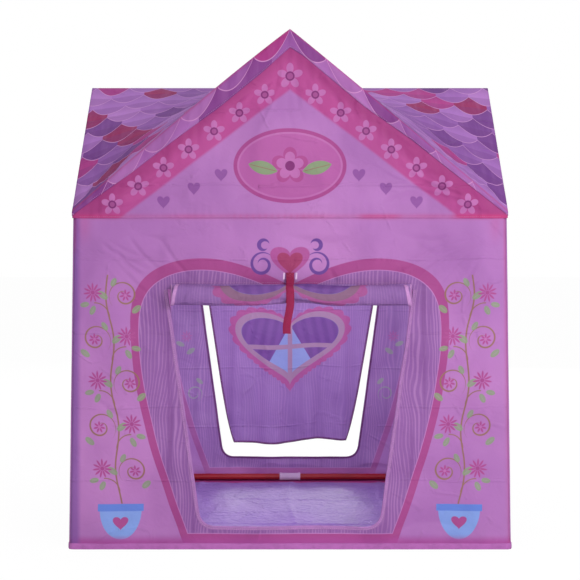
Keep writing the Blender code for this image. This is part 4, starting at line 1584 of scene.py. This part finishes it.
# The roll's window frame is a darker copy of FRAME_MAUVE: painted shade, since the roll hangs in shade.
door_rolled = door_cloth_material(
    "door_cloth_rolled", (0.290, 0.150, 0.420), 0.60, frame=(0.275, 0.135, 0.240), depth=0.014
)
roll_points, roll_flat = rolled_points()
roll = cloth_piece("rolled_door_cloth", roll_points, roll_flat, door_rolled, door_print, thickness=ROLL_CLOTH)
settle(roll, "front_door", "door_cloth", "front_door_roll")
flap = rear_flap(door_print, door_back)
settle(flap, "rear_door", "door_cloth", "rear_door_flap")
floor = floor_cloth(floor_cloth_material("floor_print"), floor_cloth_material("floor_back"))
settle(floor, "cabin", "floor_cloth", "floor_sheet")

pink_tape = tape_material("pink_tape", (0.275, 0.120, 0.310))
dark_tape = tape_material("dark_tape", (0.120, 0.030, 0.140))
hem_tape = tape_material("hem_tape", (0.320, 0.095, 0.310))
red_tape = tape_material("red_tape", (0.190, 0.005, 0.045))
lilac_thread = thread_material("lilac_thread", (0.500, 0.230, 0.500))
red_thread = thread_material("red_thread", (0.300, 0.020, 0.080))


DOORWAY_STEP = 0.006  # between the points along a doorway's edge


def doorway_line(half_top, half_foot, sill):
    """The doorway's edge from its top right, down and round to its top left."""
    side, foot = doorway_corner(half_top, half_foot, sill)
    whole = side + foot[1:] + mirrored(foot)[1:] + mirrored(side)[1:]
    return even_points(whole, round(travel(whole)[-1] / DOORWAY_STEP))


def wall_depth(x, z, outward):
    """Where an end wall's outer face is, front to back."""
    return END_PLANES[outward] + outward * end_wall_lift(np.array(x), np.array(z), wall_reliefs[outward])


front_line, rear_line = doorway_line(*FRONT_DOOR), doorway_line(*REAR_DOOR)
swept("front_doorway_binding", binding(front_line, -1, FRONT_TAPE), pink_tape, "cabin", "wall_cloth")
swept("rear_doorway_binding", binding(rear_line, 1, REAR_TAPE), dark_tape, "cabin", "wall_cloth")


def flap_edge():
    """The hanging door cloth's edge: down its right side, along its foot and up its left side."""
    sides = np.linspace(FLAP_TAPE_START, 1, FLAP_SIDE_POINTS)
    foot = np.linspace(1, -1, FLAP_FOOT_POINTS + 2)[1:-1]
    shares = np.concatenate([np.ones(FLAP_SIDE_POINTS), foot, -np.ones(FLAP_SIDE_POINTS)])
    downs = np.concatenate([sides, np.ones(FLAP_FOOT_POINTS), sides[::-1]])
    return flap_point(shares, downs)


def flap_binding():
    """The tape on the hanging door cloth's edge."""
    line = together(*flap_edge())
    along = np.gradient(line, axis=0)
    inwards = unit(together(along[:, 2], np.zeros(len(line)), -along[:, 0]))
    return edge_tape(line, inwards, np.tile((0.0, 1.0, 0.0), (len(line), 1)), REAR_TAPE)


def roll_end_tape(side):
    """The tape on one side edge of the rolled door cloth."""
    edge = roll_points[::2, 0 if side < 0 else -1]
    beside = roll_points[::2, 2 if side < 0 else -3]
    inwards = unit(beside - edge)
    outs = unit(np.cross(np.gradient(edge, axis=0), inwards) * -side)
    return edge_tape(edge, inwards, outs, ROLL_TAPE, thin=0.6)


swept("rear_door_binding", flap_binding(), dark_tape, "rear_door", "door_cloth")
pale_tape = tape_material("pale_tape", (0.370, 0.175, 0.390))
for side_name, side in (("left", -1), ("right", 1)):
    swept(f"rolled_door_{side_name}_tape", roll_end_tape(side), pale_tape, "front_door", "door_cloth")


HEM_STEP = 0.010  # between the rings of points along the hem
HEM_SECTION = (  # how far off the wall, and how high
    (0.0012, 0.0003), (0.0015, 0.0060), (0.0011, 0.0122), (0.0, 0.0132), (-0.0020, 0.0122), (-0.0022, 0.0003),
)


def hem_stations():
    """The tape round the foot of the four walls."""
    half, back = BASE_HALF, DEPTH / 2
    r = CORNER_ROUNDING
    stations = []
    for corner_x, corner_y, start in ((1, -1, -90), (1, 1, 0), (-1, 1, 90), (-1, -1, 180)):
        for degrees in range(start, start + 91, 15):
            angle = math.radians(degrees)
            out = np.array((math.cos(angle), math.sin(angle)))
            centre = np.array((corner_x * (half - r), MIDDLE + corner_y * (back - r)))
            stations.append((centre + out * r, out))
    full = []
    for i, (point, out) in enumerate(stations):
        following, next_out = stations[(i + 1) % len(stations)]
        gap = np.linalg.norm(following - point)
        count = max(1, round(gap / HEM_STEP))
        for k in range(count):
            full.append((mix(point, following, k / count), mix(out, next_out, k / count)))
    rings = []
    for i, (point, out) in enumerate(full):
        wave = 0.0003 * math.sin(i * 1.3) + 0.0002 * math.sin(i * 0.47)
        ring = []
        for off, height in HEM_SECTION:
            place = point + out * (off + wave)
            lean = (BASE_HALF - EAVE_HALF) * height / EAVE
            ring.append((place[0] - out[0] * lean, place[1], height))
        rings.append(ring)
    return rings


swept("foot_hem", hem_stations(), hem_tape, "cabin", "wall_cloth", closed=True)

STRAP_HALF = 0.0084
STRAP_THICK = 0.0010
STRAP_CLEAR = 0.0008  # from the roll's outer layer to the strap
STRAP_SECTION = (  # across in shares of half its width, and through it in shares of its thickness
    (-1, 0.5), (-0.92, 1), (0, 1.12), (0.92, 1), (1, 0.5), (0.92, 0), (0, 0.1), (-0.92, 0),
)
PATCH_EDGE = 0.0132  # from the strap's middle to the pale strip on each side of its top, a painted highlight along the patch's edges


def strap_rings(line, half=STRAP_HALF, thick=STRAP_THICK):
    """Stations of a flat strap along (y, z) points, as wide as twice half, bent a little."""
    across, shares = np.array(STRAP_SECTION).T
    rings = []
    for i, (point, normal) in enumerate(zip(np.array(line), leftwards(line))):
        sway = 0.0008 * math.sin(i * 0.21)
        y, z = point[:, None] + normal[:, None] * thick * shares
        rings.append(together(across * half + sway, y, z))
    return np.array(rings)


def strap_line():
    """The strap's path: from behind the roll, under it, up its front and over its top to the seam."""
    scale = pinched(STRAP_HALF)
    angle = np.linspace(0.0, 1.5 * math.pi, 60)
    y, z = round_roll(scale, roll_centre(scale), layer_radius(angle) + STRAP_CLEAR / scale, angle)
    y = np.minimum(y, FRONT - 0.0003)
    rise = np.linspace(0, 1, 12)[1:]
    return together(
        np.concatenate([y, mix(y[-1], FRONT - 0.0024, rise)]), np.concatenate([z, mix(z[-1], SEAM, rise)])
    )


strap = swept("tie_strap_loop", strap_rings(strap_line()), red_tape, "front_door", "strap")
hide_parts("tie_strap")


def tail_line():
    low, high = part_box("tie_strap_tail")
    share = np.linspace(0, 1, 30)
    z = mix(high.z, low.z, share)
    y = (low.y + high.y) / 2 - 0.0015 * np.sin(share * 4.0) * share - 0.0005
    return together(y, z)


TAIL_SHIFT = 0.0065  # how far to the left the strap's free end hangs
tail_rings = strap_rings(tail_line())
tail_rings[..., 0] -= (TAIL_SHIFT * smooth(np.linspace(0, 1, len(tail_rings)), 0.2, 0.95))[:, None]
tail = swept("tie_strap_end", tail_rings, red_tape, "strap_tail", "strap")
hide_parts("tie_strap_tail")
patch = [(FRONT - 0.0040, SEAM - 0.012), (FRONT - 0.0030, SEAM + 0.002), (FRONT - 0.0022, SEAM + 0.0135)]
swept("tie_strap_patch", strap_rings(patch), red_tape, "cabin", "strap")


def inset_line(line, by):
    """A line moved sideways, to its left."""
    return line + by * leftwards(line)


def wall_run(line, outward, off):
    """A row of stitches on an end wall, from (x, z) points."""
    x, z = line.T
    return facing(together(x, wall_depth(x, z, outward) + outward * off, z), (0, outward, 0))


def verge_run(outward):
    """A row of stitches along the lower edge of the roof's folded-down verge."""
    x = np.linspace(-EAVE_HALF + 0.03, EAVE_HALF - 0.03, 240)
    z = mix(PEAK, CORNER, np.abs(x) / EAVE_HALF) + rafter_bow(x) - verge_drop(x * -outward) + 0.0032
    lift = end_gable_lift(x, z, gable_reliefs[outward]) + PROUD + 0.0004
    return facing(together(x, END_PLANES[outward] + outward * lift, z), (0, outward, 0))


ABOVE_EAVE = 0.0030  # from the eave to the stitches of its seam
ON_TAPE = 0.0012  # how far off the cloth a thread lies on a tape, and straight on the cloth
ON_CLOTH = 0.0003


def eave_runs():
    """A row of stitches over the eave seam on each of the four sides."""
    runs = []
    x = np.linspace(-EAVE_HALF + 0.015, EAVE_HALF - 0.015, 300)
    z = np.full_like(x, EAVE + ABOVE_EAVE)
    for outward, end in END_PLANES.items():
        lift = end_gable_lift(x, z, gable_reliefs[outward]) + 0.0002
        runs.append(facing(together(x, end + outward * lift, z), (0, outward, 0)))
    y = np.linspace(FRONT + 0.015, REAR - 0.015, 200)
    z = np.full_like(y, EAVE + ABOVE_EAVE)
    lean = (RIDGE_HALF - EAVE_HALF) / (RIDGE - EAVE)
    for side in (-1, 1):
        x = np.full_like(y, side * (EAVE_HALF + lean * ABOVE_EAVE + 0.0002))
        runs.append(facing(together(x, y, z), (side, 0, 0)))
    return runs


door_seam = together(np.linspace(-0.251, 0.256, 120), np.full(120, SEAM - 0.0085))
flap_seam = together(np.linspace(-0.245, 0.245, 120), np.full(120, DOOR_TOP + 0.004))
runs = [
    wall_run(inset_line(front_line, 0.0042), -1, ON_TAPE),
    wall_run(inset_line(rear_line, 0.0026), 1, ON_TAPE),
    wall_run(door_seam, -1, ON_CLOTH),
    wall_run(flap_seam, 1, ON_CLOTH),
    verge_run(-1),
    verge_run(1),
    *eave_runs(),
]
stitches("seam_stitches", runs, lilac_thread, "cabin", "wall_cloth")
# Pale strips beside the top of the strap: painted highlights along the edges of its patch.
strap_glint_finish = tape_material("strap_edge_glint", (0.620, 0.420, 0.640))
for side, side_name in ((-1, "left"), (1, "right")):
    edge = side * PATCH_EDGE
    heights = np.linspace(SEAM - 0.0010, SEAM + 0.0130, 5)
    depths = wall_depth(np.full(5, edge), heights, -1) - ON_CLOTH
    rings = strap_rings(together(depths, heights), half=0.0019, thick=0.0008)
    rings[..., 0] += edge
    swept(f"strap_{side_name}_edge", rings, strap_glint_finish, "cabin", "strap")

flap_x, _, flap_z = flap_edge()
flap_inner = inset_line(together(flap_x, flap_z), -0.0026)
flap_down = np.clip((DOOR_TOP - flap_inner[:, 1]) / (DOOR_TOP - FLAP_FOOT), 0, 1)
flap_share = (flap_inner[:, 0] - FLAP_SHIFT * (1 - flap_down)) / flap_half(flap_down)
flap_y = flap_point(flap_share, flap_down)[1]
flap_points = together(flap_inner[:, 0], flap_y + ON_TAPE, flap_inner[:, 1])
runs = [facing(flap_points, (0, 1, 0)), facing(flap_points - (0, 0.0030, 0), (0, -1, 0))]
stitches("rear_door_stitches", runs, lilac_thread, "rear_door", "door_cloth")


def patch_run(corners):
    """A row of stitches on the strap's sewn patch, from (x, z) points."""
    x, z = even_points(corners, 24).T
    y = np.interp(z, [z for _, z in patch], [y for y, _ in patch]) - ON_TAPE
    return facing(together(x, y, z), (0, -1, 0))


low, high = SEAM + 0.0064, SEAM + 0.0124
box = [(-0.0060, low), (0.0060, low), (0.0060, high), (-0.0060, high)]
runs = [patch_run(box + box[:1]), patch_run([box[0], box[2]]), patch_run([box[1], box[3]])]
stitches("strap_stitches", runs, red_thread, "cabin", "strap", pitch=0.0030, length=0.0022, thick=0.0004)


def end_wall_cut(half_top, half_foot, sill):
    """The flat area of an end wall, without its doorway."""
    return (BASE_HALF + EAVE_HALF) * EAVE - (half_top + half_foot) * (DOOR_TOP - sill)


for door, end in ((FRONT_DOOR, "front"), (REAR_DOOR, "rear")):
    end_wall_cut(*door)
abs(roll_flat[0, 0, 1] - roll_flat[-1, 0, 1]) * (ROLL_HALF + np.ptp(roll_flat[-1, :, 0]) / 2)


tube_finish = plastic_material("red_tube", (0.225, 0.006, 0.016), 0.45, 0.25, 0.20)
# The connectors are white plastic, coloured the mauve they show in shade with pink light from the cloth:
# painted shade and painted reflection.
connector_shaded_finish = plastic_material("white_connector", (0.400, 0.270, 0.450), 0.50, 0.12, 0.20)
for name, node in frame["nodes"].items():
    if name.endswith("connector"):
        node.data.materials.clear()
        node.data.materials.append(connector_shaded_finish)
    elif "rail" in name or name.endswith(("post", "rafter")):
        node.data.materials.clear()
        node.data.materials.append(tube_finish)
